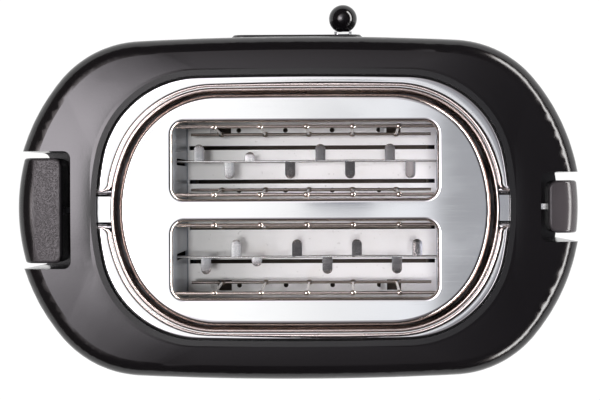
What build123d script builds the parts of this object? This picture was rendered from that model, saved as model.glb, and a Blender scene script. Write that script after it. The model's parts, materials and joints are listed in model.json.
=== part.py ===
from build123d import *
from dataclasses import dataclass, replace
from math import atan2, cos, sin
import os

# Two slot toaster, seen in the photograph from straight above.
# Millimetres, +Z up. The control plate faces -Y, the crumb tray leaves at +Y,
# the lift lever is at the -X end and the bun rack lever at the +X end.

# Outer shell
SHELL_LENGTH = 302.0
SHELL_DEPTH = 182.6
TOASTER_HEIGHT = 195.0
SHELL_CORNER_RADIUS = 57.5
SHELL_END_BULGE = 11.6
SHELL_SIDE_BULGE = 2.0
SHELL_DRAFT = 4.0
SHELL_WALL = 2.6
SHOULDER_DROP = 6.0
SHOULDER_RADIUS = 11.0
LIP_ROLL = 3.0
LIP_LEDGE = 1.8
LIP_DEPTH = 14.0

# Feet and base tray
FOOT_HEIGHT = 6.0
FOOT_RADIUS = 9.0
FOOT_X = 104.0
FOOT_Y = 46.0
BASE_HEIGHT = 16.0
BASE_FLOOR = 3.0
BASE_WALL = 3.0
BASE_CHAMFER = 3.0
SCREW_HEAD_RADIUS = 3.6
SCREW_HEAD_HEIGHT = 2.0
SCREW_SLOT_LENGTH = 5.0
SCREW_SLOT_DEPTH = 1.0
SCREW_X = 86.0
SCREW_Y = 66.0
FOOT_CHAMFER = 1.0

# Top opening, bezel ring and slot panel. The pressed steel top sits a little off the shell's centre.
PANEL_TO_SHELL_X = 52.8
PANEL_TO_SHELL_Y = 30.1
PANEL_HALF_X = SHELL_LENGTH / 2 - PANEL_TO_SHELL_X
PANEL_HALF_Y = SHELL_DEPTH / 2 - PANEL_TO_SHELL_Y
RING_TO_PANEL_X = 11.2
RING_TO_PANEL_Y = 9.3
RING_HALF_X = PANEL_HALF_X + RING_TO_PANEL_X
RING_HALF_Y = PANEL_HALF_Y + RING_TO_PANEL_Y
RING_CORNER_RADIUS = 53.0
RING_END_BULGE = 1.75
RING_SIDE_BULGE = 0.6
RING_OFFSET_X = -3.2
RING_OFFSET_Y = -0.2
RING_DROP = 11.0
RING_SHEET = 1.2
RING_RIM_HEIGHT = 4.6
RING_RIM_WIDTH = 1.2
GROOVE_TO_PANEL_X = 3.7
GROOVE_TO_PANEL_Y = 2.4
GROOVE_HALF_X = PANEL_HALF_X + GROOVE_TO_PANEL_X
GROOVE_HALF_Y = PANEL_HALF_Y + GROOVE_TO_PANEL_Y
GROOVE_CORNER_RADIUS = 52.5
PANEL_CORNER_RADIUS = 50.0
PANEL_END_BULGE = 2.4
PANEL_SIDE_BULGE = 0.2
PANEL_OFFSET_X = -4.2
PANEL_OFFSET_Y = 1.1
PANEL_DROP = 3.0
PANEL_SHEET = 1.0
PANEL_EDGE_ROLL = 2.6
SLOT_TO_PANEL_END = 28.2
SLOT_LENGTH = 2 * (PANEL_HALF_X - SLOT_TO_PANEL_END)
SLOT_TO_PANEL_SIDE = 14.65
SLOT_WEB = 11.9
SLOT_WIDTH = PANEL_HALF_Y - SLOT_TO_PANEL_SIDE - SLOT_WEB / 2
SLOT_SPACING = SLOT_WIDTH + SLOT_WEB
SLOT_CORNER_RADIUS = 6.5
SLOT_FLANGE = 4.5
SLOT_ROLL = 2.0

# Bun rack hoops
HOOP_HEIGHT = 3.4
HOOP_RIM_WIDTH = 1.1
HOOP_RIM_HEIGHT = 1.0
HOOP_PIVOT_Y = 9.4
HOOP_PIVOT_RADIUS = 1.0
HOOP_EYE_RADIUS = 2.0
HOOP_EYE_WIDTH = 2.6
HOOP_CRANK_LENGTH = 11.0
HOOP_CRANK_WIDTH = 3.2
HOOP_CRANK_THICKNESS = 2.0

# Channels in the shell's ends and the two levers
RACK_CHANNEL_WIDTH = 62.5
RACK_CHANNEL_Y = 0.65
RACK_CHANNEL_TOP_DEPTH = 31.3
RACK_CHANNEL_LOW_DEPTH = 11.0
RACK_CHANNEL_STEP_DROP = 87.0
RACK_LEVER_WIDTH = 56.3
RACK_LEVER_Y = 1.05
RACK_LEVER_THICKNESS = 25.1
RACK_LEVER_HEIGHT = 43.0
RACK_TRAVEL = 25.0
LIFT_CHANNEL_WIDTH = 37.0
LIFT_CHANNEL_DEPTH = 22.2
LIFT_CHANNEL_FLOOR_Z = 60.0
LIFT_LEVER_WIDTH = 28.0
LIFT_LEVER_Y = 0.0
LIFT_LEVER_THICKNESS = 16.7
LIFT_LEVER_HEIGHT = 37.0
LATCHED_STRIP_RISE = 15.0
LEVER_TOP_DROP = 12.0
LEVER_ROLL = 1.6
LEVER_TOP_BAND = 9.0
LEVER_INNER_CORNER = 5.0
LEVER_END_GAP = 0.6
LEVER_SKIN = 3.0
CHANNEL_CORNER = 4.0
ARM_THICKNESS = 3.0
ARM_HEIGHT = 8.0
ARM_GAP = 0.6
RACK_ROD_SETBACK = 29.0

# Toasting chamber
CHAMBER_PAST_SLOT_LIFT_END = 4.8
CHAMBER_PAST_SLOT_RACK_END = 1.2
CHAMBER_PAST_SLOT_SIDE = 10.45
CHAMBER_FLOOR_Z = 46.0
SHEET = 1.0
CRUMB_GAP_WIDTH = 2.4
CRUMB_GAP_END = 1.5
CRUMB_GAP_SPACING = 19.7
CRUMB_GAP_PAIR_SPACING = 46.5
CRUMB_GAP_Y = -0.8
FLOOR_HOLE_RADIUS = 1.4
FLOOR_HOLE_PITCH = 27.2
FLOOR_LANCE_LENGTH = 8.2
FLOOR_LANCE_WIDTH = 6.0

# Wire guards
GUARD_WIRE = 1.6
GUARD_PIVOT_WIRE = 1.8
GUARD_COUNT = 5
GUARD_PITCH_SHARE = 0.1764
GUARD_OFFSET_X = -0.7
GUARD_TOP_INSET = 2.1
GUARD_LOW_INSET = 4.6
GUARD_LOW_Z = 88.0
GUARD_LOW_SETBACK = 5.0
GUARD_TOP_DROP = 16.0
GUARD_HOLE_GAP = 0.1
GUARD_TAPER = 0.05

# Heaters
MICA_THICKNESS = 0.8
MICA_FOOT_Z = 56.0
MICA_TOP_DROP = 23.0
OUTER_MICA_SETBACK = 5.5
RIBBON_THICKNESS = 0.3
RIBBON_HEIGHT = 1.6
RIBBON_PITCH = 11.0
RIBBON_MARGIN = 8.0

# Bread carriage
STRIP_THICKNESS = 1.3
STRIP_HEIGHT = 10.0
STRIP_TOP_DROP = 60.0
STRIP_END_RUN = 4.0
STRIP_SLOT_GAP = 1.2
TONGUE_WIDTH = 5.5
TONGUE_REACH = 9.5
SHORT_TONGUE_REACH = 5.2
TONGUE_THICKNESS = 1.2
TONGUE_TIP_FLAT = 0.2
TONGUE_SHIFT = 1.8
OUTER_TONGUE_SHARES = (0.379, 0.179, -0.098, -0.371)
INNER_TONGUE_SHARES = (0.26, 0.021, -0.214, -0.451)
SHORT_TONGUE_SHARE = 0.179
BRACKET_SETBACK = 7.0
BRACKET_THICKNESS = 2.0
BRACKET_HALF_Y = 34.0
BRACKET_RISE = 24.0
GUIDE_ROD_RADIUS = 2.5
GUIDE_ROD_HALF_SPACING = 29.0
GUIDE_BUSH = 10.0
GUIDE_BUSH_HEIGHT = 16.0
GUIDE_FIT = 0.06
ROD_TOP_DROP = 19.0
BRIDGE_THICKNESS = 2.0
SPRING_OUTER_RADIUS = 5.0
SPRING_INNER_RADIUS = 3.0
SPRING_SEAT_Z = 24.0

# Latch magnet, switch and boards
MAGNET_SETBACK = 17.8
MAGNET_DEPTH = 10.0
MAGNET_SPAN = 22.0
MAGNET_LEG = 6.0
MAGNET_FOOT_Z = 45.0
COIL_WALL = 2.2
ARMATURE_THICKNESS = 2.0
LATCH_GAP = 0.5
SWITCH_SETBACK = 11.0
SWITCH_LENGTH = 10.0
SWITCH_WIDTH = 11.0
SWITCH_FOOT_Z = 45.0
SWITCH_LEAF_WIDTH = 2.0
SWITCH_LEAF_HEIGHT = 3.0
SWITCH_LEAF_SPACING = 6.0
BOARD_THICKNESS = 1.6
MAIN_BOARD_SETBACK = 8.8
MAIN_BOARD_MIN_Y = -54.0
MAIN_BOARD_WIDTH = 28.0
MAIN_BOARD_HEIGHT = 92.0
RELAY_DEPTH = 12.0
RELAY_WIDTH = 20.0
RELAY_HEIGHT = 16.0
RELAY_FOOT_Z = 30.0
CAPACITOR_LENGTH = 14.0
CAPACITOR_RADIUS = 6.0
CAPACITOR_Z = 60.0
HEAT_SINK_DEPTH = 8.0
HEAT_SINK_WIDTH = 18.0
HEAT_SINK_HEIGHT = 20.0
HEAT_SINK_FOOT_Z = 74.0
CONTROL_BOARD_SETBACK = 17.3
CONTROL_BOARD_WIDTH = 92.0
BUTTON_SWITCH_DEPTH = 3.5
BUTTON_SWITCH_SIDE = 7.0
RESISTOR_DEPTH = 3.0

# Control plate, browning slider and buttons
PLATE_X = 0.7
PLATE_WIDTH = 72.0
PLATE_FOOT_Z = 60.0
PLATE_TOP_DROP = 55.0
PLATE_STAND = 3.2
PLATE_THICKNESS = 1.8
PLATE_CHAMFER = 1.2
PLATE_CORNER_RADIUS = 7.0
TRIM_MARGIN = 1.0
TRACK_DROP = 18.0
TRACK_HEIGHT = 3.4
SLIDER_STEM = 2.4
SLIDER_X = -24.6
SLIDER_TRAVEL = 49.2
SLIDER_PAD_WIDTH = 9.5
SLIDER_PAD_HEIGHT = 13.0
SLIDER_PAD_THICKNESS = 0.6
SLIDER_PAD_CORNER = 2.0
SLIDER_GAP = 0.3
LEG_SPACING = 8.0
LEG_THICKNESS = 1.5
LEG_HEIGHT = 7.0
BALL_RADIUS = 7.75
BALL_STAND = 9.5
BALL_FLAT_DEPTH = 0.6
WIPER_HEIGHT = 8.0
BUTTON_RADIUS = 4.6
BUTTON_RISE = 24.0
BUTTON_PITCH = 20.0
BUTTON_STAND = 2.6
BUTTON_TRAVEL = 2.0
BUTTON_GAP = 0.35
BUTTON_FLANGE = 1.4
BUTTON_EDGE = 1.0
BUTTON_STEM_RADIUS = 1.8

# Crumb tray
TRAY_FOOT_Z = 30.0
TRAY_HEIGHT = 11.0
TRAY_SHEET = 1.0
TRAY_SIDE_GAP = 5.0
TRAY_FRONT_Y = -54.0
TRAY_DOOR_MARGIN = 2.0
TRAY_DOOR_THICKNESS = 3.0
TRAY_DOOR_GAP = 0.3
TRAY_RAIL_WIDTH = 3.0
HANDLE_WIDTH = 44.0
HANDLE_HEIGHT = 5.0

# Cord inlet
GLAND_X = 58.0
GLAND_Z = 62.0
GLAND_BORE_RADIUS = 4.2
GLAND_BODY_RADIUS = 6.4
GLAND_FLANGE_RADIUS = 9.0
GLAND_FLANGE_THICKNESS = 2.0


@dataclass(frozen=True)
class Oval:
    """Outline of eight tangent arcs: two ends, two long sides and four corners."""

    half_x: float
    half_y: float
    corner_radius: float
    end_bulge: float
    side_bulge: float
    centre: tuple = (0.0, 0.0)

    def grown(self, margin):
        """The same outline moved outwards by a margin, or inwards by a negative one."""
        return replace(
            self,
            half_x=self.half_x + margin,
            half_y=self.half_y + margin,
            corner_radius=self.corner_radius + margin,
        )

    def corner_centre(self):
        """Centre of the corner arc in the first quarter."""
        return (
            self.half_x - self.corner_radius - self.end_bulge,
            self.half_y - self.corner_radius - self.side_bulge,
        )

    def face(self, z):
        """The flat face inside the outline at height z."""
        radius = self.corner_radius
        corner_x, corner_y = self.corner_centre()
        end_radius = ((radius + self.end_bulge) ** 2 + corner_y**2 - radius**2) / (2 * self.end_bulge)
        side_radius = ((radius + self.side_bulge) ** 2 + corner_x**2 - radius**2) / (2 * self.side_bulge)
        end_angle = atan2(corner_y, corner_x - self.half_x + end_radius)
        side_angle = atan2(corner_y - self.half_y + side_radius, corner_x)
        middle_angle = (end_angle + side_angle) / 2
        on_end = (corner_x + radius * cos(end_angle), corner_y + radius * sin(end_angle))
        on_middle = (corner_x + radius * cos(middle_angle), corner_y + radius * sin(middle_angle))
        on_side = (corner_x + radius * cos(side_angle), corner_y + radius * sin(side_angle))
        turns = []
        for sign_x, sign_y in ((1, 1), (-1, 1), (-1, -1), (1, -1)):
            corner = [(sign_x * x, sign_y * y) for x, y in (on_end, on_middle, on_side)]
            turns.append(corner if sign_x * sign_y > 0 else corner[::-1])
        middles = [(0.0, self.half_y), (-self.half_x, 0.0), (0.0, -self.half_y), (self.half_x, 0.0)]
        edges = []
        for index, corner in enumerate(turns):
            following = turns[(index + 1) % 4][0]
            edges.append(self.arc(*corner, z))
            edges.append(self.arc(corner[2], middles[index], following, z))
        return Face(Wire(edges))

    def arc(self, start, middle, end, z):
        """Arc through three points given relative to the outline's centre."""
        centre_x, centre_y = self.centre
        return ThreePointArc(*[(x + centre_x, y + centre_y, z) for x, y in (start, middle, end)])

    def slab(self, z_low, z_high):
        """Straight walled solid between two heights."""
        return extrude(self.face(z_low), z_high - z_low, dir=(0, 0, 1))


# Places worked out from the sizes above
SHELL_TOP_Z = TOASTER_HEIGHT
BASE_TOP_Z = FOOT_HEIGHT + BASE_HEIGHT
FLOOR_TOP_Z = FOOT_HEIGHT + BASE_FLOOR
SHOULDER_Z = SHELL_TOP_Z - SHOULDER_DROP
RING_Z = SHELL_TOP_Z - RING_DROP
RING_TOP_Z = RING_Z + RING_SHEET
PANEL_TOP_Z = SHELL_TOP_Z - PANEL_DROP
PANEL_UNDER_Z = PANEL_TOP_Z - PANEL_SHEET
HOOP_Z = RING_TOP_Z
PIVOT_Z = RING_TOP_Z + HOOP_EYE_RADIUS
LEVER_TOP_Z = SHELL_TOP_Z - LEVER_TOP_DROP
LEVER_OUTER_X = SHELL_LENGTH / 2 - LEVER_END_GAP
RACK_CHANNEL_TOP_X = SHELL_LENGTH / 2 - RACK_CHANNEL_TOP_DEPTH
RACK_CHANNEL_LOW_X = SHELL_LENGTH / 2 - RACK_CHANNEL_LOW_DEPTH
RACK_CHANNEL_STEP_Z = SHELL_TOP_Z - RACK_CHANNEL_STEP_DROP
RACK_LEVER_INNER_X = LEVER_OUTER_X - RACK_LEVER_THICKNESS
LIFT_CHANNEL_X = LIFT_CHANNEL_DEPTH - SHELL_LENGTH / 2
LIFT_LEVER_INNER_X = LIFT_LEVER_THICKNESS - LEVER_OUTER_X
CHAMBER_TOP_Z = RING_Z - SHEET
CHAMBER_MIN_X = PANEL_OFFSET_X - SLOT_LENGTH / 2 - CHAMBER_PAST_SLOT_LIFT_END
CHAMBER_MAX_X = PANEL_OFFSET_X + SLOT_LENGTH / 2 + CHAMBER_PAST_SLOT_RACK_END
CHAMBER_HALF_Y = SLOT_SPACING / 2 + SLOT_WIDTH / 2 + CHAMBER_PAST_SLOT_SIDE
SLOT_CENTRES_Y = (PANEL_OFFSET_Y - SLOT_SPACING / 2, PANEL_OFFSET_Y + SLOT_SPACING / 2)
CHAMBER_MIN_Y = PANEL_OFFSET_Y - CHAMBER_HALF_Y
CHAMBER_MAX_Y = PANEL_OFFSET_Y + CHAMBER_HALF_Y
CHAMBER_MID_X = (CHAMBER_MIN_X + CHAMBER_MAX_X) / 2
STRIP_TOP_Z = SHELL_TOP_Z - STRIP_TOP_DROP
STRIP_FOOT_Z = STRIP_TOP_Z - STRIP_HEIGHT
LIFT_TRAVEL = STRIP_TOP_Z - CHAMBER_FLOOR_Z - LATCHED_STRIP_RISE
MICA_HEIGHT = SHELL_TOP_Z - MICA_TOP_DROP - MICA_FOOT_Z
GUARD_PITCH = SLOT_LENGTH * GUARD_PITCH_SHARE
GUARD_TOP_OFFSET = SLOT_WIDTH / 2 - GUARD_TOP_INSET
GUARD_LOW_OFFSET = SLOT_WIDTH / 2 - GUARD_LOW_INSET
BRACKET_X = CHAMBER_MIN_X - BRACKET_SETBACK
SWITCH_X = BRACKET_X - SWITCH_SETBACK
MAGNET_X = LIFT_CHANNEL_X + MAGNET_SETBACK
MAIN_BOARD_X = LIFT_CHANNEL_X + MAIN_BOARD_SETBACK
ROD_TOP_Z = SHELL_TOP_Z - ROD_TOP_DROP
GUARD_TOP_Z = SHELL_TOP_Z - GUARD_TOP_DROP
GUARD_X = PANEL_OFFSET_X + GUARD_OFFSET_X
LIFT_ARM_Z = STRIP_TOP_Z + BRACKET_RISE - ARM_HEIGHT
RACK_ARM_Z = LEVER_TOP_Z - RACK_LEVER_HEIGHT / 2 - ARM_HEIGHT
ROD_X = BRACKET_X - BRACKET_THICKNESS - GUIDE_BUSH / 2
RACK_ROD_X = RACK_CHANNEL_TOP_X - RACK_ROD_SETBACK
BUSH_FOOT_Z = STRIP_FOOT_Z
LATCHED_ARM_Z = LIFT_ARM_Z - LIFT_TRAVEL
PLATE_FRONT_Y = -SHELL_DEPTH / 2 - PLATE_STAND
PLATE_BACK_Y = PLATE_FRONT_Y + PLATE_THICKNESS
PLATE_HEIGHT = SHELL_TOP_Z - PLATE_TOP_DROP - PLATE_FOOT_Z
CONTROL_BOARD_Y = CONTROL_BOARD_SETBACK - SHELL_DEPTH / 2
TRACK_Z = PLATE_FOOT_Z + PLATE_HEIGHT - TRACK_DROP
BUTTON_Z = PLATE_FOOT_Z + BUTTON_RISE
BALL_CENTRE_Y = PLATE_FRONT_Y - BALL_STAND
TRAY_MIN_X = CHAMBER_MIN_X + TRAY_SIDE_GAP
TRAY_MAX_X = CHAMBER_MAX_X - TRAY_SIDE_GAP
SLIDER_PAD_Y = PLATE_FRONT_Y - SLIDER_GAP
BALL_BACK_Y = BALL_CENTRE_Y + BALL_RADIUS - BALL_FLAT_DEPTH
BALL_FRONT_Y = BALL_CENTRE_Y - BALL_RADIUS
WIPER_Y = CONTROL_BOARD_Y - BOARD_THICKNESS
# The exported frame has its origin under the middle of the whole object, ball knob included.
FRAME_SHIFT_Y = -(SHELL_DEPTH / 2 + BALL_FRONT_Y) / 2

SHELL = Oval(SHELL_LENGTH / 2, SHELL_DEPTH / 2, SHELL_CORNER_RADIUS, SHELL_END_BULGE, SHELL_SIDE_BULGE)
RING = Oval(
    RING_HALF_X,
    RING_HALF_Y,
    RING_CORNER_RADIUS,
    RING_END_BULGE,
    RING_SIDE_BULGE,
    (RING_OFFSET_X, RING_OFFSET_Y),
)
GROOVE = Oval(
    GROOVE_HALF_X,
    GROOVE_HALF_Y,
    GROOVE_CORNER_RADIUS,
    PANEL_END_BULGE,
    PANEL_SIDE_BULGE,
    (PANEL_OFFSET_X, PANEL_OFFSET_Y),
)
PANEL = replace(GROOVE, half_x=PANEL_HALF_X, half_y=PANEL_HALF_Y, corner_radius=PANEL_CORNER_RADIUS)


def block(x_range, y_range, z_range):
    """Box between two corners, given as three (low, high) pairs."""
    lows, highs = zip(*[sorted(pair) for pair in (x_range, y_range, z_range)])
    sizes = [high - low for low, high in zip(lows, highs)]
    middles = [(low + high) / 2 for low, high in zip(lows, highs)]
    return Pos(*middles) * Box(*sizes)


def rounded_block(x_range, y_range, z_range, radius):
    """Box whose four upright edges are rounded."""
    box = block(x_range, y_range, z_range)
    return fillet(box.edges().filter_by(Axis.Z), radius)


def rod(start, end, radius):
    """Round bar from one point to another."""
    start, end = Vector(*start), Vector(*end)
    along = end - start
    from_foot = (Align.CENTER, Align.CENTER, Align.MIN)
    return Plane(origin=start, z_dir=along) * Cylinder(radius, along.length, align=from_foot)


def around(middle, width):
    """The (low, high) pair of a width about its middle."""
    return (middle - width / 2, middle + width / 2)


def joined(pieces):
    """One solid fused from several pieces that touch or overlap."""
    first, *rest = pieces
    return first.fuse(*rest).clean() if rest else first


def tapered(low_oval, high_oval, z_low, z_high):
    """Straight sided solid between two outlines with the same arcs."""
    return loft([low_oval.face(z_low), high_oval.face(z_high)], ruled=True)


def shell_form(margin):
    """The shell's full outer form, grown by a margin: drafted wall, rounded shoulder, gentle top."""
    wall = tapered(
        SHELL.grown(margin - SHELL_DRAFT), SHELL.grown(margin), BASE_TOP_Z, SHOULDER_Z + margin
    )
    crest = RING.grown(LIP_ROLL)
    top = tapered(SHELL.grown(margin), crest, SHOULDER_Z + margin, SHELL_TOP_Z + margin)
    form = wall.fuse(top).clean()
    edges = form.edges().filter_by(lambda edge: abs(edge.center().Z - SHOULDER_Z - margin) < 0.01)
    return fillet(edges, SHOULDER_RADIUS + margin)


def rack_channel_cut():
    """The deep top and the shallower foot of the rack lever's channel, open at the end."""
    across = around(RACK_CHANNEL_Y, RACK_CHANNEL_WIDTH)
    beyond = SHELL_LENGTH
    above = SHELL_TOP_Z + LIP_ROLL
    deep = rounded_block((RACK_CHANNEL_TOP_X, beyond), across, (RACK_CHANNEL_STEP_Z, above), CHANNEL_CORNER)
    low = rounded_block((RACK_CHANNEL_LOW_X, beyond), across, (0, RACK_CHANNEL_STEP_Z), CHANNEL_CORNER)
    return joined([deep, low])


def lift_channel_cut():
    """The lift lever's channel, closed at its foot."""
    return rounded_block(
        (-SHELL_LENGTH, LIFT_CHANNEL_X),
        around(0, LIFT_CHANNEL_WIDTH),
        (LIFT_CHANNEL_FLOOR_Z, SHELL_TOP_Z + LIP_ROLL),
        CHANNEL_CORNER,
    )


def channel_liners():
    """Blocks that leave one wall's thickness around both channels once these are cut."""
    wall = SHELL_WALL
    rack_across = around(RACK_CHANNEL_Y, RACK_CHANNEL_WIDTH + 2 * wall)
    lift_across = around(0, LIFT_CHANNEL_WIDTH + 2 * wall)
    deep_z = (RACK_CHANNEL_STEP_Z - wall, SHELL_TOP_Z)
    low_z = (BASE_TOP_Z, RACK_CHANNEL_STEP_Z)
    lift_z = (LIFT_CHANNEL_FLOOR_Z - wall, SHELL_TOP_Z)
    return [
        block((RACK_CHANNEL_TOP_X - wall, SHELL_LENGTH), rack_across, deep_z),
        block((RACK_CHANNEL_LOW_X - wall, SHELL_LENGTH), rack_across, low_z),
        block((-SHELL_LENGTH, LIFT_CHANNEL_X + wall), lift_across, lift_z),
    ]


def arm_windows():
    """Slots in the channels' back walls that the lever arms run in."""
    through = SHELL_WALL + ARM_GAP
    rack = block(
        (RACK_CHANNEL_TOP_X - through, RACK_CHANNEL_TOP_X + ARM_GAP),
        around(RACK_LEVER_Y, ARM_THICKNESS + 2 * ARM_GAP),
        (RACK_ARM_Z - RACK_TRAVEL - ARM_GAP, RACK_ARM_Z + ARM_HEIGHT + ARM_GAP),
    )
    lift = block(
        (LIFT_CHANNEL_X - ARM_GAP, LIFT_CHANNEL_X + through),
        around(LIFT_LEVER_Y, ARM_THICKNESS + 2 * ARM_GAP),
        (LATCHED_ARM_Z - ARM_GAP, LIFT_ARM_Z + ARM_HEIGHT + ARM_GAP),
    )
    return [rack, lift]


def front_windows(back_y, front_y):
    """Slot for the browning slider and holes for the buttons, between two depths."""
    track = block(
        (SLIDER_X - SLIDER_STEM, SLIDER_X + SLIDER_TRAVEL + SLIDER_STEM),
        (front_y, back_y),
        around(TRACK_Z, TRACK_HEIGHT),
    )
    hole = BUTTON_RADIUS + BUTTON_GAP
    holes = [rod((x, front_y, BUTTON_Z), (x, back_y, BUTTON_Z), hole) for x in button_places()]
    return [track, *holes]


def button_places():
    """X of the three buttons."""
    return [PLATE_X + step * BUTTON_PITCH for step in (-1, 0, 1)]


def tray_opening(margin):
    """X and Z ranges of the opening that the crumb tray passes, with a margin."""
    return (
        (TRAY_MIN_X - margin, TRAY_MAX_X + margin),
        (TRAY_FOOT_Z - margin, TRAY_FOOT_Z + TRAY_HEIGHT + margin),
    )


def outer_shell():
    """Moulded shell: outer form, hollow inside, with the top opening, channels and windows."""
    outer = shell_form(0)
    inner = shell_form(-SHELL_WALL)
    inner = inner.fuse(SHELL.grown(-SHELL_DRAFT - SHELL_WALL).slab(0, BASE_TOP_Z + SHELL_WALL))
    lip_foot_z = SHELL_TOP_Z - LIP_DEPTH
    lip = RING.grown(SHELL_WALL).slab(lip_foot_z, SHELL_TOP_Z)
    liners = joined([outer & liner for liner in channel_liners()] + [outer & lip])
    shell = (outer - inner).fuse(liners)
    shell -= RING.slab(RING_Z, SHELL_TOP_Z + LIP_ROLL)
    shell -= RING.grown(-LIP_LEDGE).slab(lip_foot_z - LIP_DEPTH, SHELL_TOP_Z)
    shell -= rack_channel_cut()
    shell -= lift_channel_cut()
    for window in arm_windows():
        shell -= window
    for window in front_windows(CONTROL_BOARD_Y, PLATE_FRONT_Y):
        shell -= window
    opening_x, opening_z = tray_opening(TRAY_DOOR_GAP + SHEET)
    shell -= block(opening_x, (0, SHELL_DEPTH), opening_z)
    shell -= rod((GLAND_X, 0, GLAND_Z), (GLAND_X, SHELL_DEPTH, GLAND_Z), GLAND_BODY_RADIUS)
    return shell.clean()


def base_tray():
    """Base moulding: floor, rim under the shell, tray rails, rod bosses and posts."""
    rim = SHELL.grown(-SHELL_DRAFT)
    outer = tapered(rim.grown(-BASE_CHAMFER), rim, FOOT_HEIGHT, BASE_TOP_Z)
    base = outer - rim.grown(-BASE_WALL - BASE_CHAMFER).slab(FLOOR_TOP_Z, BASE_TOP_Z)
    across = around(RACK_CHANNEL_Y, RACK_CHANNEL_WIDTH + 2 * SHELL_WALL)
    base = base.fuse(outer & block((RACK_CHANNEL_LOW_X - SHELL_WALL, SHELL_LENGTH), across, (0, BASE_TOP_Z)))
    base -= rack_channel_cut()
    for x in (TRAY_MIN_X + TRAY_RAIL_WIDTH, TRAY_MAX_X - TRAY_RAIL_WIDTH):
        rail = block(around(x, TRAY_RAIL_WIDTH), (TRAY_FRONT_Y, -TRAY_FRONT_Y), (FLOOR_TOP_Z, TRAY_FOOT_Z))
        base = base.fuse(rail)
    for y in rod_places():
        low, high = ((ROD_X, y, z) for z in (FLOOR_TOP_Z, SPRING_SEAT_Z))
        base = base.fuse(rod(low, high, SPRING_OUTER_RADIUS + SHEET))
    low, high = ((RACK_ROD_X, RACK_LEVER_Y, z) for z in (FLOOR_TOP_Z, SPRING_SEAT_Z))
    base = base.fuse(rod(low, high, SPRING_OUTER_RADIUS))
    post_y = around(LIFT_LEVER_Y, MAGNET_SPAN)
    base = base.fuse(block(around(MAGNET_X, MAGNET_DEPTH), post_y, (FLOOR_TOP_Z, MAGNET_FOOT_Z)))
    switch_y = around(LIFT_LEVER_Y, SWITCH_WIDTH)
    base = base.fuse(block(around(SWITCH_X, SWITCH_LENGTH), switch_y, (FLOOR_TOP_Z, SWITCH_FOOT_Z)))
    for x, y in screw_places():
        base -= rod((x, y, 0), (x, y, FOOT_HEIGHT + SCREW_HEAD_HEIGHT), SCREW_HEAD_RADIUS)
    return base.clean()


def rod_places():
    """Y of the carriage's two guide rods."""
    return [PANEL_OFFSET_Y + side * GUIDE_ROD_HALF_SPACING for side in (-1, 1)]


def screw_places():
    """Centres of the four base screws."""
    return [(side_x * SCREW_X, side_y * SCREW_Y) for side_x in (-1, 1) for side_y in (-1, 1)]


def base_screws():
    """Four pan head screws sunk in the base's underside."""
    heads = []
    for x, y in screw_places():
        low, high = FOOT_HEIGHT, FOOT_HEIGHT + SCREW_HEAD_HEIGHT
        head = rod((x, y, low), (x, y, high), SCREW_HEAD_RADIUS)
        slot = block(around(x, SCREW_SLOT_LENGTH), around(y, SCREW_SLOT_DEPTH), (low, low + SCREW_SLOT_DEPTH))
        heads.append(head - slot)
    return Compound(heads)


def rubber_feet():
    """Four round feet under the base."""
    feet = []
    for side_x in (-1, 1):
        for side_y in (-1, 1):
            x, y = side_x * FOOT_X, side_y * FOOT_Y
            foot = rod((x, y, 0), (x, y, FOOT_HEIGHT), FOOT_RADIUS)
            feet.append(chamfer(foot.edges().group_by(Axis.Z)[0], FOOT_CHAMFER))
    return Compound(feet)


def end_land(side):
    """Flat piece of the ring between the hoops' ends, at one end of the toaster."""
    reach = HOOP_PIVOT_Y - HOOP_EYE_RADIUS - 2 * SLIDER_GAP
    land = RING.grown(-SLIDER_GAP).slab(RING_TOP_Z, RING_TOP_Z + HOOP_HEIGHT)
    land -= GROOVE.slab(RING_Z, SHELL_TOP_Z)
    cut = block((0, side * SHELL_LENGTH), around(hoop_mid_y(), 2 * reach), (RING_Z, SHELL_TOP_Z))
    return land & cut


def hoop_mid_y():
    """Y midway between the two hoops' pivots."""
    return (RING_OFFSET_Y + PANEL_OFFSET_Y) / 2


def pivot_ends(side):
    """X where the pivot pins start and stop at one end of the ring."""
    inner = PANEL_OFFSET_X + side * (GROOVE_HALF_X + RING_RIM_WIDTH / 2)
    outer = RING_OFFSET_X + side * (RING_HALF_X - 2 * SLIDER_GAP)
    return inner, outer


def eye_range(side):
    """X range of a hoop's eye at one end, centred in the trough."""
    inner, outer = pivot_ends(side)
    return around((inner + outer) / 2, HOOP_EYE_WIDTH)


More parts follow.
